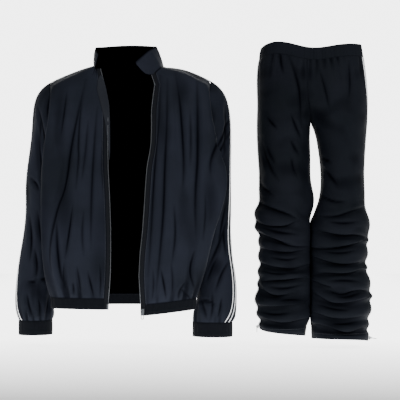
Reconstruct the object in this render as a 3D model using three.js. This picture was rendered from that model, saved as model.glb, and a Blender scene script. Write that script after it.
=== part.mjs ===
// Tracksuit: a zip jacket and ruched trousers, each hollow as worn, side by side.
// Millimetres, +Z up, the front faces -Y. The origin is at the jacket's neck, in its middle.
import * as THREE from 'three';

// Driving sizes
const clothThickness = 1.4;
const bandThickness = 2.2;
const seamGap = 0.3;
const stripWidth = 10;
const pipingWidth = 3;
const pipingProud = 1.1;
const shoulderDepth = 5;
const tapeWidth = 11;
const hemBandHeight = 30;
const cuffHeight = 42;
const trousersCentre = 549;
const waistbandHeight = 34;
const ankleZipRows = 8;
const halfStrip = stripWidth / 2;
const pipingOffset = halfStrip + seamGap + pipingWidth / 2;
const panelOffset = halfStrip + 2 * seamGap + pipingWidth;
const frontColumns = 12;
const sideColumns = 3;
const backColumns = 24;
const sleeveColumns = 7;
const legColumns = 7;
const rowsPerFold = 3;
const foldAtSide = 0.7;
const foldAtInseam = 0.05;
const underValley = 0.8;
const firstFoldHeight = -411;
const plainPull = 0.7;
const frontReach = 0.85;
const cornerHaste = 1.25;
const backFullness = 0.85;
const collarFootGap = 0.6;
const collarBow = 5;
const collarHalfWidth = 220;
const bailWire = 1.4;
const pullThickness = 1.6;

const table = (names, rows) => rows.map((row) => (
  Object.fromEntries(names.map((name, i) => [name, row[i]]))));
const lerp = THREE.MathUtils.lerp;
const ease = (s) => s * s * (3 - 2 * s);
const point = (x, y, z) => new THREE.Vector3(x, y, z);

// Rows of the jacket's fronts, from the neckline down. open is the zip edge, corner is where the front
// turns to the side, side is the shoulder, the armhole (no side given) or the side seam.
const frontRowNames = ['openX', 'openY', 'openZ', 'cornerX', 'cornerY', 'sideX', 'sideZ'];
const frontShoulderRows = {
  right: table(frontRowNames, [
    [-78, -84, -15, -98, -50, -103, 0],
    [-69, -96, -50, -137, -54, -150, -15],
    [-62, -106, -82, -181, -58, -195, -33],
  ]),
  left: table(frontRowNames, [
    [72, -94, -27, 104, -52, 108, -4],
    [84, -104, -62, 152, -56, 165, -9],
    [80, -111, -92, 198, -59, 212, -28],
  ]),
};
const frontArmholeRows = {
  right: table(['openX', 'openY', 'openZ', 'cornerX', 'cornerY'], [
    [-57, -114, -112, -224, -56],
    [-54, -120, -134, -229, -62],
    [-54, -126, -164, -230, -76],
    [-54, -131, -198, -232, -86],
    [-54, -134, -232, -238, -86],
    [-54, -136, -262, -244, -86],
    [-53, -138, -288, -248, -86],
    [-53, -140, -308, -250, -86],
  ]),
  left: table(['openX', 'openY', 'openZ', 'cornerX', 'cornerY'], [
    [77, -117, -118, 238, -56],
    [75, -122, -138, 243, -62],
    [75, -127, -166, 245, -76],
    [75, -131, -200, 250, -86],
    [74, -134, -234, 262, -87],
    [70, -136, -264, 276, -88],
    [65, -138, -290, 288, -88],
    [62, -140, -310, 294, -88],
  ]),
};
const frontSideRows = {
  right: table(frontRowNames, [
    [-50, -142, -360, -252, -88, -193, -356],
    [-47, -144, -425, -253, -88, -190, -425],
    [-45, -145, -490, -254, -88, -191, -490],
    [-45, -145, -555, -254, -86, -195, -555],
    [-46, -143, -615, -248, -82, -201, -615],
    [-49, -140, -660, -238, -77, -208, -660],
    [-52, -136, -691, -226, -70, -210, -689],
  ]),
  left: table(frontRowNames, [
    [58, -142, -362, 300, -90, 190, -356],
    [54, -144, -430, 284, -90, 186, -425],
    [49, -146, -497, 259, -88, 184, -490],
    [42, -148, -562, 245, -86, 184, -555],
    [39, -148, -624, 231, -82, 187, -615],
    [42, -146, -674, 218, -76, 190, -660],
    [44, -142, -708, 206, -70, 191, -689],
  ]),
};
// How far back each row of the back panel reaches, and its height there
const backRows = table(['reachY', 'reachZ'], [
  [80, 16], [92, -14], [104, -44],
  [112, -72], [118, -102], [124, -140], [129, -182], [132, -222], [134, -258], [135, -288], [136, -310],
  [138, -360], [139, -425], [139, -490], [137, -555], [133, -615], [128, -660], [122, -690],
]);
// Rings of each sleeve, from armhole to cuff: its outer and inner lines, its middle and half depth in Y,
// and the degrees by which the twisted sleeve brings its strip round towards the front
const sleeveNames = ['outerX', 'outerZ', 'innerX', 'innerZ', 'midY', 'halfY', 'turn'];
const sleeveRings = {
  right: table(sleeveNames, [
    [-234, -50, -200, -306, 5, 78, 0],
    [-258, -66, -201, -310, 11, 73, 0],
    [-276, -90, -202, -314, 18, 69, 0],
    [-285, -121, -203, -319, 26, 66, 0],
    [-289, -160, -203, -325, 33, 64, 0],
    [-292, -206, -203, -333, 40, 63, 0],
    [-299, -256, -202, -345, 46, 62, 0],
    [-308, -310, -200, -363, 52, 62, 0],
    [-313, -366, -198, -392, 56, 62, 0],
    [-311, -424, -197, -434, 61, 60, 0],
    [-316, -490, -201, -492, 63, 58, 0],
    [-328, -552, -210, -552, 63, 56, 4],
    [-337, -610, -222, -608, 61, 55, 9],
    [-342, -662, -235, -660, 59, 55, 16],
    [-346, -712, -230, -710, 57, 59, 24],
    [-343, -747, -224, -745, 55, 58, 31],
    [-335, -766, -230, -765, 54, 50, 37],
  ]),
  left: table(sleeveNames, [
    [250, -46, 200, -306, 5, 78, 0],
    [272, -61, 201, -310, 11, 73, 0],
    [290, -82, 202, -314, 18, 69, 0],
    [301, -110, 202, -319, 26, 66, 1],
    [308, -152, 202, -325, 33, 64, 4],
    [310, -202, 202, -333, 40, 63, 9],
    [310, -254, 200, -345, 46, 62, 12],
    [309, -308, 197, -363, 52, 62, 12],
    [310, -364, 194, -392, 56, 62, 15],
    [312, -424, 192, -434, 61, 60, 23],
    [313, -490, 192, -492, 63, 58, 31],
    [316, -552, 194, -552, 63, 57, 33],
    [322, -610, 199, -608, 62, 57, 26],
    [328, -660, 206, -658, 61, 59, 29],
    [329, -710, 204, -712, 59, 62, 31],
    [326, -750, 188, -748, 57, 60, 38],
    [316, -772, 192, -771, 55, 51, 47],
  ]),
};
// The collar's top edge over its foot, by the share of the way round from the right front to the left
const collarTop = table(['share', 'x', 'y', 'z'], [
  [0, -81, -88, 24], [0.1, -95, -52, 42], [0.22, -99, -5, 54], [0.36, -74, 48, 57], [0.5, -2, 72, 60],
  [0.64, 76, 48, 59], [0.77, 90, -4, 56], [0.89, 68, -58, 44], [1, 22, -106, 4],
]);

// The jacket's largest folds: three points down each in X and Z, its half width and depth
const foldLineNames = ['topX', 'topZ', 'midX', 'midZ', 'endX', 'endZ', 'halfWidth', 'depth'];
const jacketFolds = {
  right: table(foldLineNames, [
    [-129, -39, -177, -237, -240, -560, 17, 11],
    [-141, -93, -150, -237, -156, -369, 13, 7],
    [-93, -123, -111, -399, -111, -640, 15, 9],
    [-165, -414, -177, -492, -189, -660, 14, 8],
    [-231, -102, -213, -180, -222, -399, 11, 6],
  ]),
  left: table(foldLineNames, [
    [96, -40, 94, -159, 60, -630, 13, 7],
    [120, -36, 111, -276, 82, -690, 15, 9],
    [141, -15, 165, -228, 162, -420, 15, 9],
    [207, -40, 210, -276, 183, -680, 17, 10],
    [300, -170, 249, -290, 246, -360, 14, 8],
  ]),
  back: table(foldLineNames, [
    [-150, -90, -120, -330, -140, -680, 22, 9],
    [-60, -200, -50, -420, -75, -690, 20, 7],
    [30, -60, 20, -300, 45, -640, 21, 8],
    [120, -120, 95, -380, 110, -690, 22, 9],
    [190, -180, 165, -330, 170, -560, 20, 8],
  ]),
};

// Rings of each trouser leg, from hip to hem, measured from the trousers' centre line. Above the crotch
// a ring runs on past the centre line, and is cut there: that makes the seat seam. The turn is in degrees,
// as on the sleeves.
const legNames = ['z', 'outerX', 'innerX', 'frontY', 'backY', 'turn'];
const legRings = {
  right: table(legNames, [
    [30, -154, 140, -106, 108, 0],
    [-10, -162, 122, -112, 118, 0],
    [-60, -163, 96, -116, 126, 0],
    [-105, -160, 62, -116, 128, 0],
    [-140, -161, 32, -114, 124, 0],
    [-165, -162, 10, -112, 118, 0],
    [-182, -162, -2, -110, 114, 0],
    [-200, -162, -4, -108, 112, 0],
    [-255, -161, -2, -102, 108, 0],
    [-318, -154, 0, -96, 102, 0],
    [-345, -155, -4, -94, 100, 0],
    [-372, -157, 10, -92, 97, 0],
    [-390, -157, 17, -91, 95, 0],
    [-411, -158, 14, -90, 93, 0],
    [-436, -168, 0, -89, 92, 0],
    [-480, -168, -4, -88, 90, 0],
    [-504, -157, -4, -87, 89, 0],
    [-534, -156, -4, -86, 88, 0],
    [-588, -154, -4, -85, 86, 0],
    [-642, -158, -4, -84, 85, 0],
    [-696, -165, -4, -84, 84, 0],
    [-732, -163, -5, -83, 83, 0],
    [-768, -154, -11, -82, 82, 0],
    [-815, -152, -18, -80, 80, 0],
  ]),
  left: table(legNames, [
    [30, 157, -137, -106, 108, 14],
    [-10, 163, -119, -112, 118, 14],
    [-60, 168, -92, -116, 126, 13],
    [-105, 170, -56, -116, 128, 10],
    [-140, 169, -26, -114, 124, 6],
    [-165, 168, -7, -112, 118, 1],
    [-182, 167, 3, -110, 114, 0],
    [-200, 165, 12, -108, 112, 0],
    [-255, 162, 22, -102, 108, 0],
    [-318, 156, 30, -96, 102, 2],
    [-372, 161, 30, -92, 97, 6],
    [-411, 162, 23, -90, 93, 9],
    [-444, 168, 9, -89, 92, 6],
    [-458, 171, 0, -89, 92, 4],
    [-480, 174, -2, -88, 90, 2],
    [-498, 178, -2, -88, 90, 0],
    [-516, 170, -2, -87, 89, 0],
    [-558, 168, -2, -86, 87, 0],
    [-600, 164, -2, -85, 86, 0],
    [-642, 175, -2, -84, 85, 0],
    [-696, 180, -2, -84, 84, 0],
    [-732, 176, -2, -83, 83, 0],
    [-768, 170, -1, -82, 82, 0],
    [-830, 171, 2, -80, 80, 0],
  ]),
};
// The seat seam: its share of a leg ring's half width, and how far it lies off the middle at front and back
const seatSeam = table(['z', 'share', 'frontX', 'backX'], [
  [30, 0.05, -19, 8], [-10, 0.13, -19, 8], [-60, 0.28, -19, 8], [-105, 0.47, -15, 6],
  [-140, 0.68, -8, 4], [-165, 0.88, -3, 1], [-180, 1, 0, 0],
]);
const plainLegHeights = [0, -40, -82, -115, -140, -160, -174, -186, -215, -270, -325, -375];
// Folds drawn in across each leg: height at the side and at the inseam, how far the middle hangs on the
// front and on the back, the valley's depth and how far the cloth below it stands out
const foldNames = ['sideZ', 'inseamZ', 'frontSag', 'backSag', 'valley', 'swell'];
const legFolds = {
  right: table(foldNames, [
    [-411, -449, 2, -14, 7, 5],
    [-466, -475, -8, 6, 8, 6],
    [-506, -534, 0, -10, 7, 4],
    [-546, -561, -3, 8, 6, 7],
    [-594, -602, -10, -6, 8, 7],
    [-636, -636, 4, -12, 6, 4],
    [-668, -680, -14, 10, 8, 8],
    [-725, -720, -2, -8, 8, 6],
    [-762, -766, -7, 5, 9, 5],
  ]),
  left: table(foldNames, [
    [-424, -453, 4, -10, 7, 6],
    [-510, -489, -8, 10, 7, 4],
    [-534, -543, 4, -8, 7, 5],
    [-590, -572, -12, 8, 8, 6],
    [-614, -624, 2, -10, 7, 5],
    [-676, -647, -12, 6, 8, 7],
    [-702, -680, -18, -6, 9, 8],
    [-756, -744, -8, 6, 7, 6],
    [-790, -779, -6, -4, 8, 4],
  ]),
};
const hemEdge = {
  right: { sideZ: -789, inseamZ: -808, frontSag: 0, backSag: 0, valley: 0, swell: 0 },
  left: { sideZ: -823, inseamZ: -816, frontSag: 6, backSag: 0, valley: 0, swell: 0 },
};
const waistEdge = table(['angle', 'z'], [
  [0, 62], [30, 61], [50, 56], [70, 48], [90, 43], [106, 48], [120, 57], [135, 65], [150, 66], [180, 52],
  [225, 58], [270, 44], [315, 58], [360, 62],
]);

// Zip hardware
const jacketZip = { width: 10, depth: 4.5, height: 13, bail: 4.2, pullWidth: 9, pullLength: 25, wire: 1.8 };
const ankleZip = { width: 8, depth: 3.5, height: 10, bail: 4.2, pullWidth: 7, pullLength: 19, wire: 1.8 };
const anklePullLift = { right: 0, left: THREE.MathUtils.degToRad(80) };

const makeMaterial = (colour, roughness, metalness = 0) => new THREE.MeshStandardMaterial({
  color: colour, roughness, metalness, side: THREE.DoubleSide,
});
const nylon = () => makeMaterial('#20242e', 0.55);
const trouserNylon = () => makeMaterial('#171b22', 0.6);
const elastic = () => makeMaterial('#1b1e26', 0.75);
const whitePiping = () => makeMaterial('#e8e9ea', 0.5);
const zipTape = () => makeMaterial('#15171c', 0.8);
const metal = () => makeMaterial('#8b8f94', 0.35, 1);

const suit = new THREE.Group();
const addMesh = (name, geometry, material) => {
  const mesh = new THREE.Mesh(geometry, material);
  mesh.name = name;
  suit.add(mesh);
  return mesh;
};

// A panel's outer points, row by row, with the direction in which its wall faces at each point
const gridNormals = (rows, closed) => rows.map((row, i) => row.map((_, j) => {
  const n = row.length;
  const before = closed ? row[(j + n - 1) % n] : row[Math.max(j - 1, 0)];
  const after = closed ? row[(j + 1) % n] : row[Math.min(j + 1, n - 1)];
  const above = rows[Math.max(i - 1, 0)][j];
  const below = rows[Math.min(i + 1, rows.length - 1)][j];
  return after.clone().sub(before).cross(below.clone().sub(above)).normalize();
}));
const panel = (rows, { centre, closed = false, thickness = clothThickness }) => {
  const normals = gridNormals(rows, closed);
  let facing = 0;
  rows.forEach((row, i) => row.forEach((p, j) => {
    facing += normals[i][j].dot(p.clone().sub(centre(i, p)).normalize());
  }));
  const outward = facing > 0;
  if (!outward) {
    normals.flat().forEach((n) => n.negate());
  }
  return { rows, normals, outward, closed, thickness };
};
// Both edges of an angled seam take one mitred direction, so that their walls stay apart
const mitreSeam = (edgeA, edgeB) => edgeA.forEach((a, k) => {
  const b = edgeB[k];
  const middle = a.clone().add(b).normalize();
  const reach = Math.min(1 / Math.max(middle.dot(a), 0.5), 1.6);
  a.copy(middle).multiplyScalar(reach);
  b.copy(a);
});
const lastColumn = (piece) => piece.normals.map((row) => row[row.length - 1]);
const firstColumn = (piece) => piece.normals.map((row) => row[0]);
const panelGeometry = ({ rows, normals, outward, closed, thickness }) => {
  const columns = rows[0].length;
  const positions = [];
  const indices = [];
  const layerSize = rows.length * columns;
  [0, thickness].forEach((inset) => rows.forEach((row, i) => row.forEach((p, j) => {
    positions.push(...p.clone().addScaledVector(normals[i][j], -inset).toArray());
  })));
  const at = (layer, i, j) => layer * layerSize + i * columns + (j % columns);
  const quad = (a, b, c, d) => {
    indices.push(...(outward ? [a, b, c, a, c, d] : [a, c, b, a, d, c]));
  };
  const spans = closed ? columns : columns - 1;
  const last = rows.length - 1;
  for (let i = 0; i < last; i += 1) {
    for (let j = 0; j < spans; j += 1) {
      quad(at(0, i, j), at(0, i, j + 1), at(0, i + 1, j + 1), at(0, i + 1, j));
      quad(at(1, i, j), at(1, i + 1, j), at(1, i + 1, j + 1), at(1, i, j + 1));
    }
    if (!closed) {
      quad(at(0, i, 0), at(0, i + 1, 0), at(1, i + 1, 0), at(1, i, 0));
      const edge = columns - 1;
      quad(at(0, i + 1, edge), at(0, i, edge), at(1, i, edge), at(1, i + 1, edge));
    }
  }
  for (let j = 0; j < spans; j += 1) {
    quad(at(0, 0, j + 1), at(0, 0, j), at(1, 0, j), at(1, 0, j + 1));
    quad(at(0, last, j), at(0, last, j + 1), at(1, last, j + 1), at(1, last, j));
  }
  const geometry = new THREE.BufferGeometry();
  geometry.setAttribute('position', new THREE.Float32BufferAttribute(positions, 3));
  geometry.setIndex(indices);
  return geometry;
};
const addPanel = (name, piece, material) => addMesh(name, panelGeometry(piece), material);
// A piping is a rounded-off lozenge swept down a seam, standing a little proud of the cloth
const addPiping = (name, places, outs, acrosses) => {
  const rows = places.map((place, i) => {
    const half = pipingWidth / 2;
    const out = outs[i];
    const across = acrosses[i];
    const middle = place.clone().addScaledVector(out, pipingProud - half);
    return [
      middle.clone().addScaledVector(out, half),
      middle.clone().addScaledVector(across, half),
      middle.clone().addScaledVector(out, -half),
      middle.clone().addScaledVector(across, -half),
    ];
  });
  const positions = rows.flat().flatMap((p) => p.toArray());
  const indices = [];
  const quad = (a, b, c, d) => indices.push(a, b, c, a, c, d);
  const end = (rows.length - 1) * 4;
  for (let i = 0; i < rows.length - 1; i += 1) {
    for (let j = 0; j < 4; j += 1) {
      const next = (j + 1) % 4;
      quad(i * 4 + j, i * 4 + next, (i + 1) * 4 + next, (i + 1) * 4 + j);
    }
  }
  quad(3, 2, 1, 0);
  quad(end, end + 1, end + 2, end + 3);
  const volume = indices.reduce((sum, _, k) => {
    if (k % 3 !== 0) {
      return sum;
    }
    const [a, b, c] = [0, 1, 2].map((m) => rows.flat()[indices[k + m]]);
    return sum + a.dot(b.clone().cross(c));
  }, 0);
  if (volume < 0) {
    indices.reverse();
  }
  const geometry = new THREE.BufferGeometry();
  geometry.setAttribute('position', new THREE.Float32BufferAttribute(positions, 3));
  geometry.setIndex(indices);
  addMesh(name, geometry, whitePiping());
};

// The way across a strip at each of its rows, from its front edge to its back edge
const acrossOf = ([front, back]) => front.map((p, i) => back[i].clone().sub(p).normalize());

// Sleeve rings: the point at an angle round a ring from its outer line, towards the front (-1) or back (1)
const ringPoint = (ring, angle, towards) => {
  const middle = point((ring.outerX + ring.innerX) / 2, ring.midY, (ring.outerZ + ring.innerZ) / 2);
  const outer = point(ring.outerX, ring.midY, ring.outerZ);
  const reach = outer.sub(middle);
  const turned = towards * angle - THREE.MathUtils.degToRad(ring.turn);
  return middle.addScaledVector(reach, Math.cos(turned)).add(point(0, ring.halfY * Math.sin(turned), 0));
};
const ringAngles = (ring) => {
  const first = Math.asin(panelOffset / ring.halfY);
  const last = Math.PI - Math.asin(seamGap / 2 / ring.halfY);
  return Array.from({ length: sleeveColumns + 1 }, (_, j) => lerp(first, last, j / sleeveColumns));
};

// One row of a front: a quarter ellipse from the zip edge to the corner, then an easy curve to the side
const frontRow = (open, corner, side) => {
  const points = [];
  for (let j = 0; j <= frontColumns; j += 1) {
    const t = (j / frontColumns) * Math.PI / 2;
    const across = Math.sin(t);
    const z = lerp(open.z, side.z, across * frontReach);
    points.push(point(lerp(open.x, corner.x, across), lerp(open.y, corner.y, 1 - Math.cos(t)), z));
  }
  for (let j = 1; j <= sideColumns; j += 1) {
    const s = j / sideColumns;
    const z = lerp(open.z, side.z, lerp(frontReach, 1, s));
    const turned = ease(Math.min(s * cornerHaste, 1));
    points.push(point(lerp(corner.x, side.x, turned), lerp(corner.y, side.y, s), z));
  }
  return points;
};
const backRow = (sideRight, sideLeft, reach) => {
  const points = [];
  for (let j = 0; j <= backColumns; j += 1) {
    const t = (j / backColumns) * Math.PI;
    const out = Math.sin(t) ** backFullness;
    const near = t < Math.PI / 2 ? sideRight : sideLeft;
    const x = (sideRight.x + sideLeft.x) / 2 + ((sideRight.x - sideLeft.x) / 2) * Math.cos(t);
    points.push(point(x, lerp(near.y, reach.reachY, out), lerp(near.z, reach.reachZ, out)));
  }
  return points;
};
// Presses fold lines into a panel's rows, and leaves the panel's outer edges where they are
const alongFold = (fold, z) => {
  const upper = z > fold.midZ;
  const [fromX, fromZ, toX, toZ] = upper
    ? [fold.topX, fold.topZ, fold.midX, fold.midZ]
    : [fold.midX, fold.midZ, fold.endX, fold.endZ];
  return lerp(fromX, toX, (z - fromZ) / (toZ - fromZ));
};
const foldDepth = (folds, p) => folds.reduce((sum, fold) => {
  const run = (p.z - fold.topZ) / (fold.endZ - fold.topZ);
  if (run <= 0 || run >= 1) {
    return sum;
  }
  const away = (p.x - alongFold(fold, p.z)) / fold.halfWidth;
  const crest = 0.45 * Math.exp(-((Math.abs(away) - 1.9) ** 2));
  return sum + fold.depth * Math.sin(Math.PI * run) ** 0.6 * (Math.exp(-away * away) - crest);
}, 0);
const pressFolds = (piece, folds) => {
  const last = piece.rows[0].length - 1;
  piece.rows.forEach((row, i) => row.forEach((p, j) => {
    const edgeFade = Math.min(Math.min(j, last - j) / 2, Math.min(i, 1), 1);
    p.addScaledVector(piece.normals[i][j], -edgeFade * foldDepth(folds, p));
  }));
  return piece.rows;
};
const inwardOf = { right: 1, left: -1 };
const sideEdges = (side, towards) => {
  const shoulder = frontShoulderRows[side].map((row) => (
    point(row.sideX, shoulderDepth + towards * panelOffset, row.sideZ)));
  const ring = sleeveRings[side][0];
  const armhole = ringAngles(ring).map((angle) => {
    const p = ringPoint(ring, angle, towards);
    p.x += inwardOf[side] * seamGap;
    return p;
  });
  const below = frontSideRows[side].map((row) => (
    point(row.sideX, shoulderDepth + (towards * seamGap) / 2, row.sideZ)));
  return [...shoulder, ...armhole, ...below];
};

const torsoCentre = (i, p) => point(0, 0, Math.min(p.z - 30, -120));
const fronts = {};
const tapes = {};
['right', 'left'].forEach((side) => {
  const edges = sideEdges(side, -1);
  const levels = [...frontShoulderRows[side], ...frontArmholeRows[side], ...frontSideRows[side]];
  const inward = inwardOf[side];
  const rows = levels.map((level, i) => frontRow(
    point(level.openX - inward * (tapeWidth + seamGap), level.openY, level.openZ),
    point(level.cornerX, level.cornerY, 0),
    edges[i],
  ));
  const plainFront = panel(rows, { centre: torsoCentre });
  fronts[side] = panel(pressFolds(plainFront, jacketFolds[side]), { centre: torsoCentre });
  const zipEdge = rows.map((row) => row[0]);
  zipEdge.push(zipEdge.at(-1).clone().add(point(0, 0, -hemBandHeight)));
  const tapeRows = zipEdge.map((edge) => [1, 0].map((share) => point(
    edge.x + inward * (seamGap + tapeWidth * share), edge.y + 0.4 * share, edge.z)));
  tapes[side] = panel(tapeRows, { centre: torsoCentre, thickness: 1.2 });
});
const backEdges = { right: sideEdges('right', 1), left: sideEdges('left', 1) };
const plainBack = panel(
  backRows.map((reach, i) => backRow(backEdges.left[i], backEdges.right[i], reach)),
  { centre: torsoCentre },
);
const back = panel(pressFolds(plainBack, jacketFolds.back), { centre: torsoCentre });

// Sleeves, each a front half and a back half between the outer strip and the inner seam
const halves = { front: -1, back: 1 };
const ringCentre = (rings) => (i) => {
  const ring = rings[i];
  return point((ring.outerX + ring.innerX) / 2, ring.midY, (ring.outerZ + ring.innerZ) / 2);
};
const shoulderRowCount = frontShoulderRows.right.length;
['right', 'left'].forEach((side) => {
  const rings = sleeveRings[side];
  const inward = inwardOf[side];
  const sleeves = {};
  Object.entries(halves).forEach(([half, towards]) => {
    const rows = rings.map((ring, k) => ringAngles(ring).map((angle) => {
      const p = ringPoint(ring, angle, towards);
      p.x -= k === 0 ? inward * seamGap : 0;
      return p;
    }));
    sleeves[half] = panel(rows, { centre: ringCentre(rings) });
    const sleeve = sleeves[half];
    const torso = half === 'front' ? fronts[side] : back;
    const edgeColumn = (row) => {
      if (half === 'front') {
        return row[row.length - 1];
      }
      return side === 'right' ? row[row.length - 1] : row[0];
    };
    const armholeRows = torso.normals.slice(shoulderRowCount, shoulderRowCount + sleeveColumns + 1);
    const torsoEdge = armholeRows.map(edgeColumn);
    mitreSeam(torsoEdge, sleeve.normals[0]);
  });
  mitreSeam(lastColumn(sleeves.front), lastColumn(sleeves.back));
  const underarmRow = shoulderRowCount + sleeveColumns;
  const backEdge = side === 'right' ? lastColumn(back) : firstColumn(back);
  mitreSeam(lastColumn(fronts[side]).slice(underarmRow), backEdge.slice(underarmRow));
  Object.keys(halves).forEach((half) => addPanel(`jacket_sleeve_${side}_${half}`, sleeves[half], nylon()));
});
['right', 'left'].forEach((side) => {
  addPanel(`jacket_front_${side}`, fronts[side], nylon());
  addPanel(`jacket_zip_tape_${side}`, tapes[side], zipTape());
});
addPanel('jacket_back', back, nylon());

// The strip over each shoulder and down the sleeve, with a piping in the seam on each side of it
['right', 'left'].forEach((side) => {
  const rings = sleeveRings[side];
  const shoulder = frontShoulderRows[side];
  const places = (offset) => [
    ...shoulder.map((row) => point(row.sideX, shoulderDepth + offset, row.sideZ)),
    ...rings.map((ring) => ringPoint(ring, Math.asin(Math.abs(offset) / ring.halfY), Math.sign(offset))),
  ];
  const centres = [...shoulder.map((row) => point(row.sideX, 0, row.sideZ - 100)),
    ...rings.map((_, k) => ringCentre(rings)(k))];
  const edges = [places(-halfStrip), places(halfStrip)];
  const strip = panel(edges[0].map((p, i) => [p, edges[1][i]]), { centre: (i) => centres[i] });
  addPanel(`jacket_strip_${side}`, strip, nylon());
  Object.entries(halves).forEach(([half, towards]) => {
    const seam = places(towards * pipingOffset);
    addPiping(`jacket_piping_${side}_${half}`, seam, strip.normals.map((row) => row[0]), acrossOf(edges));
  });
});

// Cuffs: plain elastic bands round the last ring
['right', 'left'].forEach((side) => {
  const last = sleeveRings[side].at(-1);
  const columns = 18;
  const rows = [0, 1].map((down) => Array.from({ length: columns }, (_, j) => {
    const p = ringPoint(last, (j / columns) * 2 * Math.PI, 1);
    p.z -= seamGap + down * cuffHeight;
    return p;
  }));
  const cuff = panel(rows, { centre: () => ringCentre(sleeveRings[side])(sleeveRings[side].length - 1),
    closed: true, thickness: bandThickness });
  addPanel(`jacket_cuff_${side}`, cuff, elastic());
});

// Hem band: follows the bottom rows of the fronts and the back in one strip
const bottomLine = [
  ...fronts.right.rows.at(-1),
  ...back.rows.at(-1).slice().reverse().slice(1, -1),
  ...fronts.left.rows.at(-1).slice().reverse(),
];
const hemRows = [0, 1].map((down) => bottomLine.map((p) => (
  p.clone().add(point(0, 0, -seamGap - down * hemBandHeight)))));
addPanel('jacket_hem_band', panel(hemRows, { centre: torsoCentre, thickness: bandThickness }), elastic());

// Collar: stands on the neckline from one zip edge to the other
const neckLine = [
  ...fronts.right.rows[0],
  ...back.rows[0].slice().reverse(),
  ...fronts.left.rows[0].slice().reverse(),
];
const topAt = (share) => {
  const next = Math.max(collarTop.findIndex((row) => row.share >= share), 1);
  const [a, b] = [collarTop[next - 1], collarTop[next]];
  const s = (share - a.share) / (b.share - a.share);
  return point(lerp(a.x, b.x, s), lerp(a.y, b.y, s), lerp(a.z, b.z, s));
};
const collarLine = neckLine.map((p) => p.clone().add(point(0, 0, collarFootGap)));
const lengths = collarLine.map((p, i) => (i ? p.distanceTo(collarLine[i - 1]) : 0));
const totalLength = lengths.reduce((sum, d) => sum + d, 0);
let runLength = 0;
const shares = lengths.map((d) => {
  runLength += d;
  return runLength / totalLength;
});
const collarRows = [0, 0.35, 0.7, 1].map((up) => collarLine.map((p, i) => {
  const top = topAt(shares[i]);
  const q = p.clone().lerp(top, up);
  q.x *= 1 + (collarBow * Math.sin(Math.PI * up)) / collarHalfWidth;
  return q;
}));
addPanel('jacket_collar', panel(collarRows, { centre: (i, p) => point(0, -10, p.z) }), nylon());

// Zip hardware: a slider, the bail on its face, and a ring pull that hangs in the bail
const box = (name, size, place, parent = suit) => {
  const mesh = new THREE.Mesh(new THREE.BoxGeometry(size.x, size.y, size.z), metal());
  mesh.name = name;
  mesh.position.copy(place);
  parent.add(mesh);
};
const bailShape = (reach) => {
  const half = reach / 2 + bailWire - 0.5;
  const shape = new THREE.Shape();
  shape.moveTo(0, -half);
  shape.lineTo(reach - 1, -half);
  shape.lineTo(reach, -half + 1);
  shape.lineTo(reach, half - 1);
  shape.lineTo(reach - 1, half);
  shape.lineTo(0, half);
  shape.lineTo(0, half - bailWire);
  shape.lineTo(reach - bailWire, half - bailWire);
  shape.lineTo(reach - bailWire, -half + bailWire);
  shape.lineTo(0, -half + bailWire);
  return shape;
};
const pullShape = ({ pullWidth, pullLength, wire }) => {
  const half = pullWidth / 2;
  const drop = pullLength - half - wire / 2;
  const outline = (inset) => {
    const r = half - inset;
    const path = inset ? new THREE.Path() : new THREE.Shape();
    path.moveTo(-r, wire / 2 - inset);
    path.lineTo(-r, -drop);
    path.absarc(0, -drop, r, Math.PI, 2 * Math.PI, false);
    path.lineTo(r, wire / 2 - inset);
    path.closePath();
    return path;
  };
  const shape = outline(0);
  shape.holes.push(outline(wire));
  return shape;
};
const extrude = (shape, depth) => {
  const geometry = new THREE.ExtrudeGeometry(shape, { depth, bevelEnabled: false, curveSegments: 8 });
  geometry.translate(0, 0, -depth / 2);
  return geometry;
};
const addZipEnd = (names, zip, place, turn, lift) => {
  const group = new THREE.Group();
  group.position.copy(place);
  group.rotation.z = turn;
  suit.add(group);
  box(names.slider, { x: zip.width, y: zip.depth, z: zip.height }, point(0, 0, 0), group);
  const bail = new THREE.Mesh(extrude(bailShape(zip.bail), bailWire), metal());
  bail.name = names.bail;
  bail.rotation.set(0, 0, -Math.PI / 2);
  bail.rotateX(Math.PI / 2);
  bail.position.set(0, -zip.depth / 2 - 0.1, 0);
  group.add(bail);
  const pull = new THREE.Mesh(extrude(pullShape(zip), pullThickness), metal());
  pull.name = names.pull;
  pull.rotation.x = Math.PI / 2 - lift;
  pull.position.set(0, -zip.depth / 2 - 0.1 - (zip.bail - bailWire) / 2, 0);
  group.add(pull);
};
const jacketTapeFoot = tapes.left.rows.at(-1);
const jacketSliderPlace = jacketTapeFoot[0].clone().lerp(jacketTapeFoot[1], 0.4)
  .add(point(0, -jacketZip.depth / 2 - seamGap, 12));
addZipEnd({ slider: 'jacket_zip_slider', bail: 'jacket_zip_bail', pull: 'jacket_zip_pull' },
  jacketZip, jacketSliderPlace, 0, 0);
box('jacket_zip_box', { x: 8, y: 3.4, z: 5 }, jacketSliderPlace.clone().add(point(0, 0.4, -9.4)));
const pinFoot = tapes.right.rows.at(-1)[0];
box('jacket_zip_pin', { x: 3.4, y: 2.4, z: 15 }, pinFoot.clone().add(point(-2, -1.6, 8)));

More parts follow.
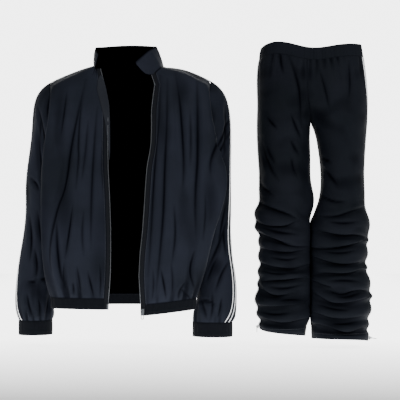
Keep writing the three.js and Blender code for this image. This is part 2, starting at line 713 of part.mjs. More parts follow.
// Trousers
const legRing = (side, z) => {
  const rings = legRings[side];
  const next = Math.min(Math.max(rings.findIndex((ring) => ring.z <= z), 1), rings.length - 1);
  const [a, b] = [rings[next - 1], rings[next]];
  const s = THREE.MathUtils.clamp((z - a.z) / (b.z - a.z), -0.6, 1);
  const mix = (name) => lerp(a[name], b[name], s);
  return Object.fromEntries(legNames.map((name) => [name, mix(name)]));
};
const seatAt = (z) => {
  if (z <= seatSeam.at(-1).z) {
    return { share: 1, frontX: 0, backX: 0 };
  }
  const next = Math.max(seatSeam.findIndex((row) => row.z <= z), 1);
  const [a, b] = [seatSeam[next - 1], seatSeam[next]];
  const s = (z - a.z) / (b.z - a.z);
  const mix = (name) => lerp(a[name], b[name], s);
  return { share: mix('share'), frontX: mix('frontX'), backX: mix('backX') };
};
const turnOf = (ring) => THREE.MathUtils.degToRad(ring.turn);
const legPoint = (side, z, share, towards, swell) => {
  const ring = legRing(side, z);
  const seat = seatAt(z);
  const outwards = Math.sign(ring.outerX);
  const halfY = towards < 0 ? -ring.frontY : ring.backY;
  const seamX = (towards < 0 ? seat.frontX : seat.backX) + outwards * (seamGap / 2 + 0.1);
  const crossing = seat.share;
  const innerX = crossing < 1 ? ring.outerX - ((ring.outerX - seamX) * 2) / (1 + crossing) : ring.innerX;
  const middle = (ring.outerX + innerX) / 2;
  const halfX = Math.abs(ring.outerX - innerX) / 2;
  const first = crossing < 1 ? Math.acos(crossing) : Math.asin(seamGap / halfY);
  const last = Math.PI - Math.asin(panelOffset / (halfY + swell * foldAtSide)) + towards * turnOf(ring);
  const angle = lerp(first, last, share);
  const reachY = Math.sin(angle) < 0 ? -ring.frontY : halfY;
  const grow = swell * lerp(foldAtSide, 1, Math.abs(Math.sin(angle)));
  const x = middle - outwards * (halfX + grow * lerp(foldAtInseam, 1, share)) * Math.cos(angle);
  const y = towards * (reachY + grow) * Math.sin(angle);
  return point(trousersCentre + x, y, z);
};
const waistAt = (degrees) => {
  const angle = (degrees + 360) % 360;
  const next = Math.max(waistEdge.findIndex((row) => row.angle >= angle), 1);
  const [a, b] = [waistEdge[next - 1], waistEdge[next]];
  return lerp(a.z, b.z, (angle - a.angle) / (b.angle - a.angle));
};
const waistAngle = (x, y) => THREE.MathUtils.radToDeg(Math.atan2(-y, x - trousersCentre));
const legRowList = (side, towards) => {
  const sagName = towards < 0 ? 'frontSag' : 'backSag';
  const lines = [...legFolds[side], hemEdge[side]];
  const heightAt = (line, share) => (
    lerp(line.inseamZ, line.sideZ, share) + line[sagName] * 4 * share * (1 - share));
  const rows = plainLegHeights.map((z, i) => {
    const blend = i / (plainLegHeights.length - 1);
    const pulled = plainPull * blend * blend;
    return { height: (share) => z + (heightAt(lines[0], share) - firstFoldHeight) * pulled, swell: 0 };
  });
  lines.forEach((line, k) => {
    rows.push({ height: (share) => heightAt(line, share), swell: -line.valley });
    if (k === lines.length - 1) {
      return;
    }
    const below = lines[k + 1];
    for (let m = 1; m < rowsPerFold; m += 1) {
      const s = m / rowsPerFold;
      rows.push({
        height: (share) => lerp(heightAt(line, share), heightAt(below, share), s),
        swell: line.swell * (m === 1 ? underValley : 1),
      });
    }
  });
  return rows;
};
const legCentre = (side) => (i, p) => {
  const ring = legRing(side, p.z);
  return point(trousersCentre + (ring.outerX + ring.innerX) / 2, 0, p.z);
};
const topSeam = (p) => {
  const top = waistAt(waistAngle(p.x, p.y)) - waistbandHeight - seamGap;
  return point(p.x, p.y, top);
};
const legTops = { right: {}, left: {} };
const stripTops = {};
const crotchRow = 1 + plainLegHeights.indexOf(-186);
['right', 'left'].forEach((side) => {
  const legs = {};
  Object.entries(halves).forEach(([half, towards]) => {
    const rowList = legRowList(side, towards);
    const rows = rowList.map((row) => Array.from({ length: legColumns + 1 }, (_, j) => {
      const share = j / legColumns;
      return legPoint(side, row.height(share), share, towards, row.swell);
    }));
    rows.unshift(Array.from({ length: legColumns + 1 }, (_, j) => (
      topSeam(legPoint(side, 25, j / legColumns, towards, 0)))));
    legs[half] = panel(rows, { centre: legCentre(side) });
    legTops[side][half] = rows[0];
  });
  const inseam = [legs.front, legs.back].map((leg) => firstColumn(leg).slice(crotchRow));
  mitreSeam(inseam[0], inseam[1]);
  Object.keys(halves).forEach((half) => addPanel(`trousers_${half}_${side}`, legs[half], trouserNylon()));
});

// The side strip and its two pipings follow the side of each leg, from the waistband to the ankle zip
['right', 'left'].forEach((side) => {
  const outwards = side === 'right' ? -1 : 1;
  const place = (level, offset) => {
    const ring = legRing(side, level.z);
    const grow = level.swell * foldAtSide;
    const middle = (ring.outerX + ring.innerX) / 2;
    const halfX = Math.abs(ring.outerX - ring.innerX) / 2 + grow;
    const angle = Math.asin(offset / (ring.backY + grow)) - turnOf(ring);
    const halfY = (angle < 0 ? -ring.frontY : ring.backY) + grow;
    const x = trousersCentre + middle + outwards * halfX * Math.cos(angle);
    return point(x, halfY * Math.sin(angle), level.z);
  };
  const topLevel = { z: waistAt(side === 'right' ? 180 : 0) - waistbandHeight - 3 * seamGap, swell: 0 };
  const levels = [topLevel, ...legRowList(side, -1).map((row) => ({ z: row.height(1), swell: row.swell }))];
  const zipStart = levels.length - ankleZipRows;
  const edges = [-halfStrip, halfStrip].map((offset) => levels.map((level) => place(level, offset)));
  const strip = panel(edges[0].map((p, i) => [p, edges[1][i]]), { centre: (i, p) => legCentre(side)(i, p) });
  const [rows, normals] = [strip.rows, strip.normals].map((list) => list.slice(0, zipStart + 1));
  const upper = { ...strip, rows, normals };
  addPanel(`trousers_strip_${side}`, upper, trouserNylon());
  const tapeRows = strip.rows.slice(zipStart).map((row) => row.map((p) => p.clone()));
  tapeRows[0].forEach((p, j) => {
    p.lerp(tapeRows[1][j], 0.05);
  });
  addPanel(`trousers_ankle_zip_${side}`, panel(tapeRows, { centre: legCentre(side) }), zipTape());
  [-1, 1].forEach((towards) => {
    const seam = levels.map((level) => place(level, towards * pipingOffset));
    const name = `trousers_piping_${side}_${towards < 0 ? 'front' : 'back'}`;
    addPiping(name, seam, strip.normals.map((row) => row[0]), acrossOf(edges));
  });
  const foot = tapeRows.at(-1)[0];
  const furthest = Math.max(...tapeRows.slice(-2).map((row) => row[0].x * outwards));
  const anklePlace = point(outwards * (furthest + ankleZip.depth / 2 + 0.5), 0, foot.z + 8);
  const names = Object.fromEntries(['slider', 'bail', 'pull'].map((part) => (
    [part, `trousers_ankle_${part}_${side}`])));
  addZipEnd(names, ankleZip, anklePlace, outwards * Math.PI / 2, anklePullLift[side]);
  stripTops[side] = strip.rows[0];
});

// Waistband: one closed elastic band that stands on the tops of the panels and strips
const waistLine = [
  ...legTops.left.front.slice().reverse(),
  ...legTops.right.front.slice(1),
  ...stripTops.right,
  ...legTops.right.back.slice().reverse(),
  ...legTops.left.back.slice(1),
  ...stripTops.left.slice().reverse(),
];
const waistDraw = 0.965;
const waistRows = [1, 0.5, 0].map((up) => waistLine.map((p) => {
  const draw = lerp(1, waistDraw, up);
  const top = waistAt(waistAngle(p.x, p.y));
  return point(
    trousersCentre + (p.x - trousersCentre) * draw,
    p.y * draw,
    lerp(top - waistbandHeight, top, up),
  );
}));
addPanel('trousers_waistband', panel(waistRows, { centre: (i, p) => point(trousersCentre, 0, p.z),
  closed: true, thickness: bandThickness }), elastic());

export default suit;
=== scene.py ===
import math

import bmesh
import bpy
import numpy as np
from mathutils import Matrix, Vector, noise
from mathutils.bvhtree import BVHTree
from mathutils.kdtree import KDTree


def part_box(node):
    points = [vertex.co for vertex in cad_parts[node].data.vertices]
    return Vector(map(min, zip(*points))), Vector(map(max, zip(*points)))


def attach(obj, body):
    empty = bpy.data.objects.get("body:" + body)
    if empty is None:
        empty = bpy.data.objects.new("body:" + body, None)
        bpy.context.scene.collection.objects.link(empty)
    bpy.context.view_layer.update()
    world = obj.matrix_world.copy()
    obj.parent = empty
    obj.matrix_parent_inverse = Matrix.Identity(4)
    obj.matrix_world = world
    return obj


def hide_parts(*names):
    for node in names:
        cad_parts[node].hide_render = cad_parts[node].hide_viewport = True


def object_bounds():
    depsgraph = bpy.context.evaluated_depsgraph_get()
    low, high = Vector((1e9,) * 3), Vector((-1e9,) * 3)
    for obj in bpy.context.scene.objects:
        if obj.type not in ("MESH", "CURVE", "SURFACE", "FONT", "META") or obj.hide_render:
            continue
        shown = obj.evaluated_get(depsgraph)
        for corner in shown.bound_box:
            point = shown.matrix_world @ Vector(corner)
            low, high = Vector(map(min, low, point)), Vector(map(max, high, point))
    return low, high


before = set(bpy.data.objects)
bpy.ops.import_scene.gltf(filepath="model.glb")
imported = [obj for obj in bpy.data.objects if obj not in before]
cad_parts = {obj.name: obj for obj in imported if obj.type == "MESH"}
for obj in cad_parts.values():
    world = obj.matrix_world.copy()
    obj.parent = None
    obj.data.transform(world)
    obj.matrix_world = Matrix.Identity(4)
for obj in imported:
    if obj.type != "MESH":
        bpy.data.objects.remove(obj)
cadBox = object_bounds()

mm = 0.001
body = "suit"

# The photograph's frame at the suit: 400 pixels are 1.2 m wide, seen from the front
view = {
    "distance": 5.0,
    "metresAcross": 1.2,
    "centre": (0.216, 0.0, -0.402),
    "pixels": 400,
    "clothDepth": -0.13,
    "sensor": 36,
    "clipEnd": 100,
}


def spot(px, py):
    # a place in the photograph, as X and Z on the cloth's front
    shrink = (view["distance"] + view["clothDepth"]) / view["distance"]
    step = view["metresAcross"] / view["pixels"] * shrink
    middle = view["pixels"] / 2
    return (view["centre"][0] + (px - middle) * step, view["centre"][2] - (py - middle) * step)


def linearColor(hexColor):
    parts = [int(hexColor[i:i + 2], 16) / 255 for i in (1, 3, 5)]
    return tuple(c / 12.92 if c <= 0.04045 else ((c + 0.055) / 1.055) ** 2.4 for c in parts) + (1.0,)


# Materials

def addNode(tree, kind, settings=None, links=None):
    node = tree.nodes.new(kind)
    for name, value in (settings or {}).items():
        if name in node.inputs:
            node.inputs[name].default_value = value
        else:
            setattr(node, name, value)
    for name, source in (links or {}).items():
        tree.links.new(source, node.inputs[name])
    return node


def startMaterial(name, shaderSettings):
    material = bpy.data.materials.new(name)
    material.use_nodes = True
    tree = material.node_tree
    shader = tree.nodes["Principled BSDF"]
    for key, value in shaderSettings.items():
        shader.inputs[key].default_value = value
    return material, tree, shader


# A wave texture of scale 1 has about this many bands to a metre, and one in ten fewer on the diagonal
bandsAtOne = 3.2


def wovenCloth(name, cloth):
    # a filament nylon taffeta: a tight plain weave with fine crinkles and hardly any shine
    material, tree, shader = startMaterial(name, {"Roughness": cloth["roughness"], "IOR": 1.53})
    place = addNode(tree, "ShaderNodeTexCoord").outputs["Object"]
    patches = addNode(tree, "ShaderNodeTexNoise", {"Scale": 1 / (cloth["patchSize"] * mm), "Detail": 3.0},
                      {"Vector": place})
    shade = addNode(tree, "ShaderNodeValToRGB", None, {"Fac": patches.outputs["Fac"]})
    shade.color_ramp.elements[0].position = cloth["patchRange"][0]
    shade.color_ramp.elements[0].color = linearColor(cloth["dark"])
    shade.color_ramp.elements[1].position = cloth["patchRange"][1]
    shade.color_ramp.elements[1].color = linearColor(cloth["light"])
    # painted shade: fold valleys take hardly any light, so the cloth's colour is mixed towards its dark
    # valley colour where it is pressed in, and its gloss is taken away there
    hollow = addNode(tree, "ShaderNodeAttribute", {"attribute_name": "hollow"}).outputs["Fac"]
    shadeMix = addNode(tree, "ShaderNodeMix", {"data_type": "RGBA"})
    tree.links.new(hollow, shadeMix.inputs["Factor"])
    tree.links.new(shade.outputs["Color"], shadeMix.inputs["A"])
    shadeMix.inputs["B"].default_value = linearColor(cloth["valley"])
    tree.links.new(shadeMix.outputs["Result"], shader.inputs["Base Color"])
    specularInShade = addNode(tree, "ShaderNodeMapRange", {"To Min": cloth["specular"], "To Max": 0.0},
                   {"Value": hollow})
    tree.links.new(specularInShade.outputs["Result"], shader.inputs["Specular IOR Level"])
    # threads are 0.25 mm apart, too fine to show, so they are drawn 1.1 mm apart
    threads = [addNode(tree, "ShaderNodeTexWave", {
        "wave_type": "BANDS", "bands_direction": way, "Scale": 1 / (cloth["threadSpacing"] * mm * bandsAtOne),
        "Distortion": 0.6, "Detail": 1.0,
    }, {"Vector": place}).outputs["Fac"] for way in ("X", "Z")]
    weave = addNode(tree, "ShaderNodeMath", {"operation": "MULTIPLY"}, {0: threads[0], 1: threads[1]})
    weaveBump = addNode(tree, "ShaderNodeBump", {"Strength": 0.12, "Distance": 0.1 * mm},
                        {"Height": weave.outputs[0]})
    stretch = addNode(tree, "ShaderNodeMapping", {"Scale": cloth["crinkleStretch"]}, {"Vector": place})
    crinkle = addNode(tree, "ShaderNodeTexNoise", {
        "Scale": 1 / (cloth["crinkleSize"] * mm), "Detail": 4.0, "Roughness": 0.55, "Distortion": 0.4,
    }, {"Vector": stretch.outputs["Vector"]})
    crinkleBump = addNode(tree, "ShaderNodeBump", {"Strength": cloth["crinkle"], "Distance": 1.2 * mm},
                          {"Height": crinkle.outputs["Fac"], "Normal": weaveBump.outputs["Normal"]})
    tree.links.new(crinkleBump.outputs["Normal"], shader.inputs["Normal"])
    return material


def elasticCloth(name, cloth):
    # woven elastic, shirred in fine upright ribs that take no shine
    material, tree, shader = startMaterial(name, {"Roughness": 0.8, "IOR": 1.5, "Specular IOR Level": 0.05})
    place = addNode(tree, "ShaderNodeTexCoord").outputs["Object"]
    grime = addNode(tree, "ShaderNodeTexNoise", {"Scale": 1 / (cloth["patchSize"] * mm), "Detail": 4.0},
                    {"Vector": place})
    shade = addNode(tree, "ShaderNodeValToRGB", None, {"Fac": grime.outputs["Fac"]})
    shade.color_ramp.elements[0].color = linearColor(cloth["dark"])
    shade.color_ramp.elements[1].color = linearColor(cloth["light"])
    tree.links.new(shade.outputs["Color"], shader.inputs["Base Color"])
    upright = addNode(tree, "ShaderNodeMapping", {"Scale": (1.0, 1.0, 0.12)}, {"Vector": place})
    rib = addNode(tree, "ShaderNodeTexNoise", {"Scale": 1 / (cloth["ribSize"] * mm), "Detail": 2.0},
                  {"Vector": upright.outputs["Vector"]})
    ribBump = addNode(tree, "ShaderNodeBump", {"Strength": 0.5, "Distance": 0.5 * mm},
                      {"Height": rib.outputs["Fac"]})
    tree.links.new(ribBump.outputs["Normal"], shader.inputs["Normal"])
    return material


def cordPiping(name, cloth):
    # bright white polyester piping, a filled cord under a tight twill
    material, tree, shader = startMaterial(name, {
        "Roughness": 0.5, "IOR": 1.55, "Sheen Weight": 0.25, "Specular IOR Level": 0.4,
    })
    place = addNode(tree, "ShaderNodeTexCoord").outputs["Object"]
    twist = addNode(tree, "ShaderNodeTexWave", {
        "bands_direction": "DIAGONAL", "Scale": 1 / (cloth["twistSpacing"] * mm * bandsAtOne),
        "Distortion": 0.4,
    }, {"Vector": place})
    shade = addNode(tree, "ShaderNodeValToRGB", None, {"Fac": twist.outputs["Fac"]})
    shade.color_ramp.elements[0].color = linearColor(cloth["dark"])
    shade.color_ramp.elements[1].color = linearColor(cloth["light"])
    tree.links.new(shade.outputs["Color"], shader.inputs["Base Color"])
    twistBump = addNode(tree, "ShaderNodeBump", {"Strength": 0.35, "Distance": 0.2 * mm},
                        {"Height": twist.outputs["Fac"]})
    tree.links.new(twistBump.outputs["Normal"], shader.inputs["Normal"])
    return material


def twillTape(name, cloth):
    # polyester zip tape: a matt herringbone twill
    material, tree, shader = startMaterial(name, {"Roughness": 0.85, "IOR": 1.5, "Specular IOR Level": 0.05})
    place = addNode(tree, "ShaderNodeTexCoord").outputs["Object"]
    twill = addNode(tree, "ShaderNodeTexWave", {
        "bands_direction": "DIAGONAL", "Scale": 1 / (cloth["twillSpacing"] * mm * bandsAtOne),
        "Distortion": 1.0,
    }, {"Vector": place})
    shade = addNode(tree, "ShaderNodeValToRGB", None, {"Fac": twill.outputs["Fac"]})
    shade.color_ramp.elements[0].color = linearColor(cloth["dark"])
    shade.color_ramp.elements[1].color = linearColor(cloth["light"])
    tree.links.new(shade.outputs["Color"], shader.inputs["Base Color"])
    twillBump = addNode(tree, "ShaderNodeBump", {"Strength": 0.4, "Distance": 0.2 * mm},
                        {"Height": twill.outputs["Fac"]})
    tree.links.new(twillBump.outputs["Normal"], shader.inputs["Normal"])
    return material


def platedZinc(name, zinc):
    # die-cast zinc with a plated finish, slightly scuffed where fingers pull it
    material, tree, shader = startMaterial(name, {"Metallic": 1.0})
    place = addNode(tree, "ShaderNodeTexCoord").outputs["Object"]
    scuff = addNode(tree, "ShaderNodeTexNoise", {"Scale": 1 / (zinc["scuffSize"] * mm), "Detail": 5.0},
                    {"Vector": place})
    shade = addNode(tree, "ShaderNodeValToRGB", None, {"Fac": scuff.outputs["Fac"]})
    shade.color_ramp.elements[0].color = linearColor(zinc["dark"])
    shade.color_ramp.elements[1].color = linearColor(zinc["light"])
    tree.links.new(shade.outputs["Color"], shader.inputs["Base Color"])
    spread = addNode(tree, "ShaderNodeMapRange", {
        "To Min": zinc["roughness"][0], "To Max": zinc["roughness"][1],
    }, {"Value": scuff.outputs["Fac"]})
    tree.links.new(spread.outputs["Result"], shader.inputs["Roughness"])
    return material


# Sizes and spacings are in mm
# "valley" is the colour of the painted shade in folds and turned seams
jacketCloth = {
    "dark": "#14171d", "light": "#1e212a", "valley": "#010103", "roughness": 0.6, "specular": 0.02,
    "patchSize": 160, "patchRange": (0.3, 0.75), "threadSpacing": 1.1,
    "crinkleSize": 9, "crinkle": 0.3, "crinkleStretch": (1.0, 1.0, 0.45),
}
trouserCloth = dict(jacketCloth, dark="#0d1014", light="#13151b", roughness=0.62,
                    crinkleStretch=(0.5, 0.6, 1.0))
facingCloth = dict(jacketCloth, dark="#1b1d22", light="#25272c")
# the inside face of the cloth is painted black: painted shade for the dark inside of the suit
shadedInsideCloth = dict(jacketCloth, dark="#000000", light="#010101", specular=0.0, roughness=1.0, crinkle=0.2)
bandCloth = {"dark": "#06080c", "light": "#0b0d12", "patchSize": 12, "ribSize": 2.4}
pipingCloth = {"dark": "#d4d6d9", "light": "#f3f4f5", "twistSpacing": 1.4}
tapeCloth = {"dark": "#0b0c0f", "light": "#15171b", "twillSpacing": 1.6}
pullZinc = {"dark": "#3f4246", "light": "#74777b", "scuffSize": 1.5, "roughness": (0.3, 0.5)}
teethZinc = {"dark": "#54575b", "light": "#82858a", "scuffSize": 1.5, "roughness": (0.35, 0.5)}

materials = {
    "jacket_nylon": wovenCloth("jacketTaffeta", jacketCloth),
    "trouser_nylon": wovenCloth("trouserTaffeta", trouserCloth),
    "elastic_band": elasticCloth("shirredElastic", bandCloth),
    "white_piping": cordPiping("whitePiping", pipingCloth),
    "zip_tape": twillTape("zipTwill", tapeCloth),
    "zip_metal": platedZinc("platedZinc", pullZinc),
}
# the inside face of the cloth, in black painted shade
shadedInside = wovenCloth("insideOfCloth", shadedInsideCloth)
facingTaffeta = wovenCloth("facingTaffeta", facingCloth)
zipCoil = platedZinc("zipCoil", teethZinc)
threadPaint = startMaterial("sewingThread", {"Roughness": 0.7, "Base Color": linearColor("#1d2028")})[0]
print("materials made")


# Camera and light

def addCamera():
    camera = bpy.data.objects.new("camera", bpy.data.cameras.new("camera"))
    bpy.context.scene.collection.objects.link(camera)
    centre = Vector(view["centre"])
    camera.location = centre + Vector((0, -view["distance"], 0))
    camera.rotation_euler = (math.pi / 2, 0, 0)
    camera.data.sensor_width = view["sensor"]
    camera.data.lens = view["sensor"] * view["distance"] / view["metresAcross"]
    camera.data.clip_end = view["clipEnd"]
    bpy.context.scene.camera = camera


studio = {
    "floorDrop": 0.02,
    "floorSize": 10,
    "paper": "#e0e0e0",
    # the paper's glow grows between two places in Y, and falls off to each side
    "glowY": (-1.3, 0.3),
    "glow": (0.1, 4.2),
    "glowHalfWidth": (1.0, 2.2),
    "glowAside": (1.0, 0.25),
    # the air's brightness grows as a look at it goes straighter backwards
    "airWay": (0.8, 0.975),
    "air": (0.65, 4.8),
    # name, place, size, power
    "lights": [
        ("keyLight", (2.5, -2.9, 1.8), 1.1, 104),
        ("fillLight", (-2.8, -3.2, 0.9), 1.8, 50),
        ("topLight", (0.2, -0.6, 2.6), 1.6, 6),
    ],
}


def addFloor():
    # a wide sheet of white paper with painted light: it glows, growing brighter behind the suit
    mesh = bpy.data.meshes.new("paperFloor")
    bm = bmesh.new()
    bmesh.ops.create_grid(bm, x_segments=1, y_segments=1, size=studio["floorSize"] / 2)
    bmesh.ops.translate(bm, verts=bm.verts, vec=(view["centre"][0], 0, cadBox[0][2] - studio["floorDrop"]))
    bm.to_mesh(mesh)
    bm.free()
    floor = bpy.data.objects.new("paperFloor", mesh)
    bpy.context.scene.collection.objects.link(floor)
    paint, tree, shader = startMaterial("whitePaper", {
        "Roughness": 0.95, "Base Color": linearColor(studio["paper"]), "Emission Color": (1, 1, 1, 1),
    })
    place = addNode(tree, "ShaderNodeTexCoord").outputs["Object"]
    parts = addNode(tree, "ShaderNodeSeparateXYZ", None, {"Vector": place})
    depth = addNode(tree, "ShaderNodeMapRange", {
        "From Min": studio["glowY"][0], "From Max": studio["glowY"][1],
        "To Min": studio["glow"][0], "To Max": studio["glow"][1],
    }, {"Value": parts.outputs["Y"]})
    across = addNode(tree, "ShaderNodeMath", {"operation": "SUBTRACT"}, {0: parts.outputs["X"]})
    across.inputs[1].default_value = view["centre"][0]
    aside = addNode(tree, "ShaderNodeMath", {"operation": "ABSOLUTE"}, {0: across.outputs[0]})
    fade = addNode(tree, "ShaderNodeMapRange", {
        "From Min": studio["glowHalfWidth"][0], "From Max": studio["glowHalfWidth"][1],
        "To Min": studio["glowAside"][0], "To Max": studio["glowAside"][1],
    }, {"Value": aside.outputs[0]})
    glow = addNode(tree, "ShaderNodeMath", {"operation": "MULTIPLY"},
                   {0: depth.outputs["Result"], 1: fade.outputs["Result"]})
    tree.links.new(glow.outputs[0], shader.inputs["Emission Strength"])
    mesh.materials.append(paint)


def addStudio():
    addFloor()
    # the air is pale all round and brightest behind the suit
    world = bpy.data.worlds.new("studio")
    world.use_nodes = True
    tree = world.node_tree
    air = tree.nodes["Background"]
    air.inputs["Color"].default_value = (1, 1, 1, 1)
    way = addNode(tree, "ShaderNodeTexCoord").outputs["Generated"]
    parts = addNode(tree, "ShaderNodeSeparateXYZ", None, {"Vector": way})
    bright = addNode(tree, "ShaderNodeMapRange", {
        "From Min": studio["airWay"][0], "From Max": studio["airWay"][1],
        "To Min": studio["air"][0], "To Max": studio["air"][1],
    }, {"Value": parts.outputs["Y"]})
    tree.links.new(bright.outputs["Result"], air.inputs["Strength"])
    bpy.context.scene.world = world
    for name, place, size, power in studio["lights"]:
        lamp = bpy.data.lights.new(name, "AREA")
        lamp.size = size
        lamp.energy = power
        light = bpy.data.objects.new(name, lamp)
        light.location = place
        aim = Vector(view["centre"]) - light.location
        light.rotation_euler = aim.to_track_quat("-Z", "Y").to_euler()
        bpy.context.scene.collection.objects.link(light)


addCamera()
addStudio()
print("camera and studio made")


# Cloth shells

skin = {"weld": 0.05 * mm, "rimEdge": 2.5 * mm}


def cadMesh(node):
    # a node's triangles, welded
    bm = bmesh.new()
    bm.from_mesh(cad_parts[node].data)
    bmesh.ops.remove_doubles(bm, verts=bm.verts, dist=skin["weld"])
    return bm


def joinQuads(bm):
    bmesh.ops.join_triangles(bm, faces=bm.faces, angle_face_threshold=math.pi, angle_shape_threshold=math.pi)


def outerSkin(node, facing):
    # one face of a CAD wall, in quads: its thin rim goes, and the side that looks the given way stays
    bm = cadMesh(node)
    rim = {f for e in bm.edges if e.calc_length() < skin["rimEdge"] for f in e.link_faces}
    bmesh.ops.delete(bm, geom=list(rim), context="FACES")
    unseen = set(bm.faces)
    sides = []
    while unseen:
        side = []
        queue = [unseen.pop()]
        while queue:
            face = queue.pop()
            side.append(face)
            for edge in face.edges:
                for other in edge.link_faces:
                    if other in unseen:
                        unseen.remove(other)
                        queue.append(other)
        sides.append(side)
    low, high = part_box(node)
    middle = (low + high) / 2

    def outwardness(side):
        if facing == "round":
            return sum(f.normal.dot(f.calc_center_median() - middle) * f.calc_area() for f in side)
        return sum(f.normal.dot(Vector(facing)) * f.calc_area() for f in side)

    keep = max(sides, key=outwardness)
    away = [f for side in sides if side is not keep for f in side]
    if away:
        bmesh.ops.delete(bm, geom=away, context="FACES")
    loose = [v for v in bm.verts if not v.link_faces]
    if loose:
        bmesh.ops.delete(bm, geom=loose, context="VERTS")
    joinQuads(bm)
    return bm


def meshObject(name, bm):
    mesh = bpy.data.meshes.new(name)
    bm.to_mesh(mesh)
    bm.free()
    piece = bpy.data.objects.new(name, mesh)
    bpy.context.scene.collection.objects.link(piece)
    return piece


def applyModifiers(piece):
    graph = bpy.context.evaluated_depsgraph_get()
    done = bpy.data.meshes.new_from_object(piece.evaluated_get(graph))
    old = piece.data
    piece.modifiers.clear()
    piece.data = done
    bpy.data.meshes.remove(old)
    done.name = piece.name


def subdivide(piece, levels, boundary="ALL"):
    smooth = piece.modifiers.new("smooth", "SUBSURF")
    smooth.levels = levels
    smooth.render_levels = levels
    smooth.boundary_smooth = boundary
    applyModifiers(piece)


def shadeSmooth(piece):
    for face in piece.data.polygons:
        face.use_smooth = True


def vertexArrays(piece):
    count = len(piece.data.vertices)
    places = np.zeros(count * 3)
    piece.data.vertices.foreach_get("co", places)
    normals = np.zeros(count * 3)
    piece.data.vertices.foreach_get("normal", normals)
    return places.reshape(-1, 3), normals.reshape(-1, 3)


def setPlaces(piece, places):
    piece.data.vertices.foreach_set("co", places.ravel())
    piece.data.update()


def smoothPath(points):
    # rounds a given line off
    points = np.array(points, float)
    for _ in range(2):
        if len(points) < 3:
            break
        cut = [points[0]]
        for a, b in zip(points[:-1], points[1:]):
            cut += [a * 0.75 + b * 0.25, a * 0.25 + b * 0.75]
        cut.append(points[-1])
        points = np.array(cut)
    return points


def nearestOnPath(flat, path):
    # each point's distance from a line, the share of the way along it, and the side on which the point lies
    steps = np.linalg.norm(path[1:] - path[:-1], axis=1)
    nearest = np.full(len(flat), np.inf)
    along = np.zeros(len(flat))
    side = np.ones(len(flat))
    start = 0.0
    for a, b, step in zip(path[:-1], path[1:], steps):
        way = b - a
        offset = flat - a
        t = np.clip(offset @ way / max(step * step, 1e-12), 0, 1)
        gap = np.linalg.norm(offset - t[:, None] * way, axis=1)
        closer = gap < nearest
        nearest[closer] = gap[closer]
        along[closer] = (start + t * step)[closer]
        side[closer] = np.sign(way[0] * offset[closer, 1] - way[1] * offset[closer, 0])
        start += step
    return nearest, along / steps.sum(), side


def bell(offset):
    return np.exp(-offset ** 2)


# Folds thin out towards their ends
taperShape = {"end": 0.03, "power": 0.6, "narrowest": 0.65, "growth": 0.35}
# A trough's section across its line, in shares of its width, with the painted shade along its line given as
# strengths and widths
troughShape = {"ridgeAt": 1.9, "ridgeWidth": 0.75, "ridge": 0.4, "shadeCore": [(0.7, 0.5), (0.3, 1.0)]}
# A lapped fold's section, with its lip on the upper side; its painted shade along the line is given as
# strengths and widths
lapShape = {
    "widthAbove": 0.5, "widthBelow": 1.5, "lipAt": 1.3, "lipWidth": 0.9, "lip": 0.55,
    "slideAt": 0.8, "slideWidth": 0.7, "shadeCoreAbove": 0.3, "shadeCoreBelow": [(0.55, 0.45), (0.45, 1.3)],
}


def creasePush(flat, crease):
    # a trough: how far the cloth is pressed in along a line, with low ridges beside it. A lapped one has its
    # upper lip steep and full, and slides it down over the valley.
    path = smoothPath(crease["path"])
    nearest, along, side = nearestOnPath(flat, path)
    taper = np.sin(np.pi * np.clip(along, taperShape["end"], 1 - taperShape["end"])) ** taperShape["power"]
    reach = nearest / (crease["width"] * mm * (taperShape["narrowest"] + taperShape["growth"] * taper))
    depth = crease["depth"] * mm * taper
    if not crease.get("lap"):
        ridge = bell((reach - troughShape["ridgeAt"]) / troughShape["ridgeWidth"])
        # painted shade along the trough's line
        shadeCore = sum(strength * bell(reach / width) for strength, width in troughShape["shadeCore"])
        return depth * (bell(reach) - troughShape["ridge"] * ridge), None, shadeCore * taper
    signed = reach * side
    above = signed > 0
    valley = np.where(above, bell(signed / lapShape["widthAbove"]), bell(signed / lapShape["widthBelow"]))
    lip = bell((signed - lapShape["lipAt"]) / lapShape["lipWidth"])
    slide = crease["lap"] * depth * bell((signed - lapShape["slideAt"]) / lapShape["slideWidth"])
    # painted shade along the lapped fold's line, wider below its lip
    under = sum(strength * bell(signed / width) for strength, width in lapShape["shadeCoreBelow"])
    shadeCore = np.where(above, bell(signed / lapShape["shadeCoreAbove"]), under)
    return depth * (valley - lapShape["lip"] * lip), slide, shadeCore * taper


# Painted shade darkens folds fully at "fullDepth" (mm), by "most" of the way
foldShade = {"fullDepth": 3, "most": 0.95}
# Painted shade darkens slack and gathers where they lie deeper than "from", by "most" of that where they
# reach "full" (mm)
slackShade = {"from": 0.2, "full": 2.4, "most": 0.6}
fadePower = 0.8


def pressCreases(piece, creases, extra=None, seamFade=14):
    places, normals = vertexArrays(piece)
    flat = places[:, [0, 2]]
    depth = np.zeros(len(places))
    drop = np.zeros(len(places))
    hollow = np.zeros(len(places))
    for crease in creases:
        push, slide, valley = creasePush(flat, crease)
        depth += push
        hollow = np.maximum(hollow, valley * min(crease["depth"] / foldShade["fullDepth"], 1))
        if slide is not None:
            drop += slide
    if extra:
        pressed = extra(places)
        depth += pressed
        share = (pressed / mm - slackShade["from"]) / (slackShade["full"] - slackShade["from"])
        hollow = np.maximum(hollow, np.clip(share, 0, 1) * slackShade["most"])
    fade = edgeFade(piece, places, seamFade)
    moved = places - normals * (depth * fade)[:, None]
    moved[:, 2] -= drop * fade
    setPlaces(piece, moved)
    shade = piece.data.attributes.new("hollow", "FLOAT", "POINT")
    shade.data.foreach_set("value", hollow * foldShade["most"])


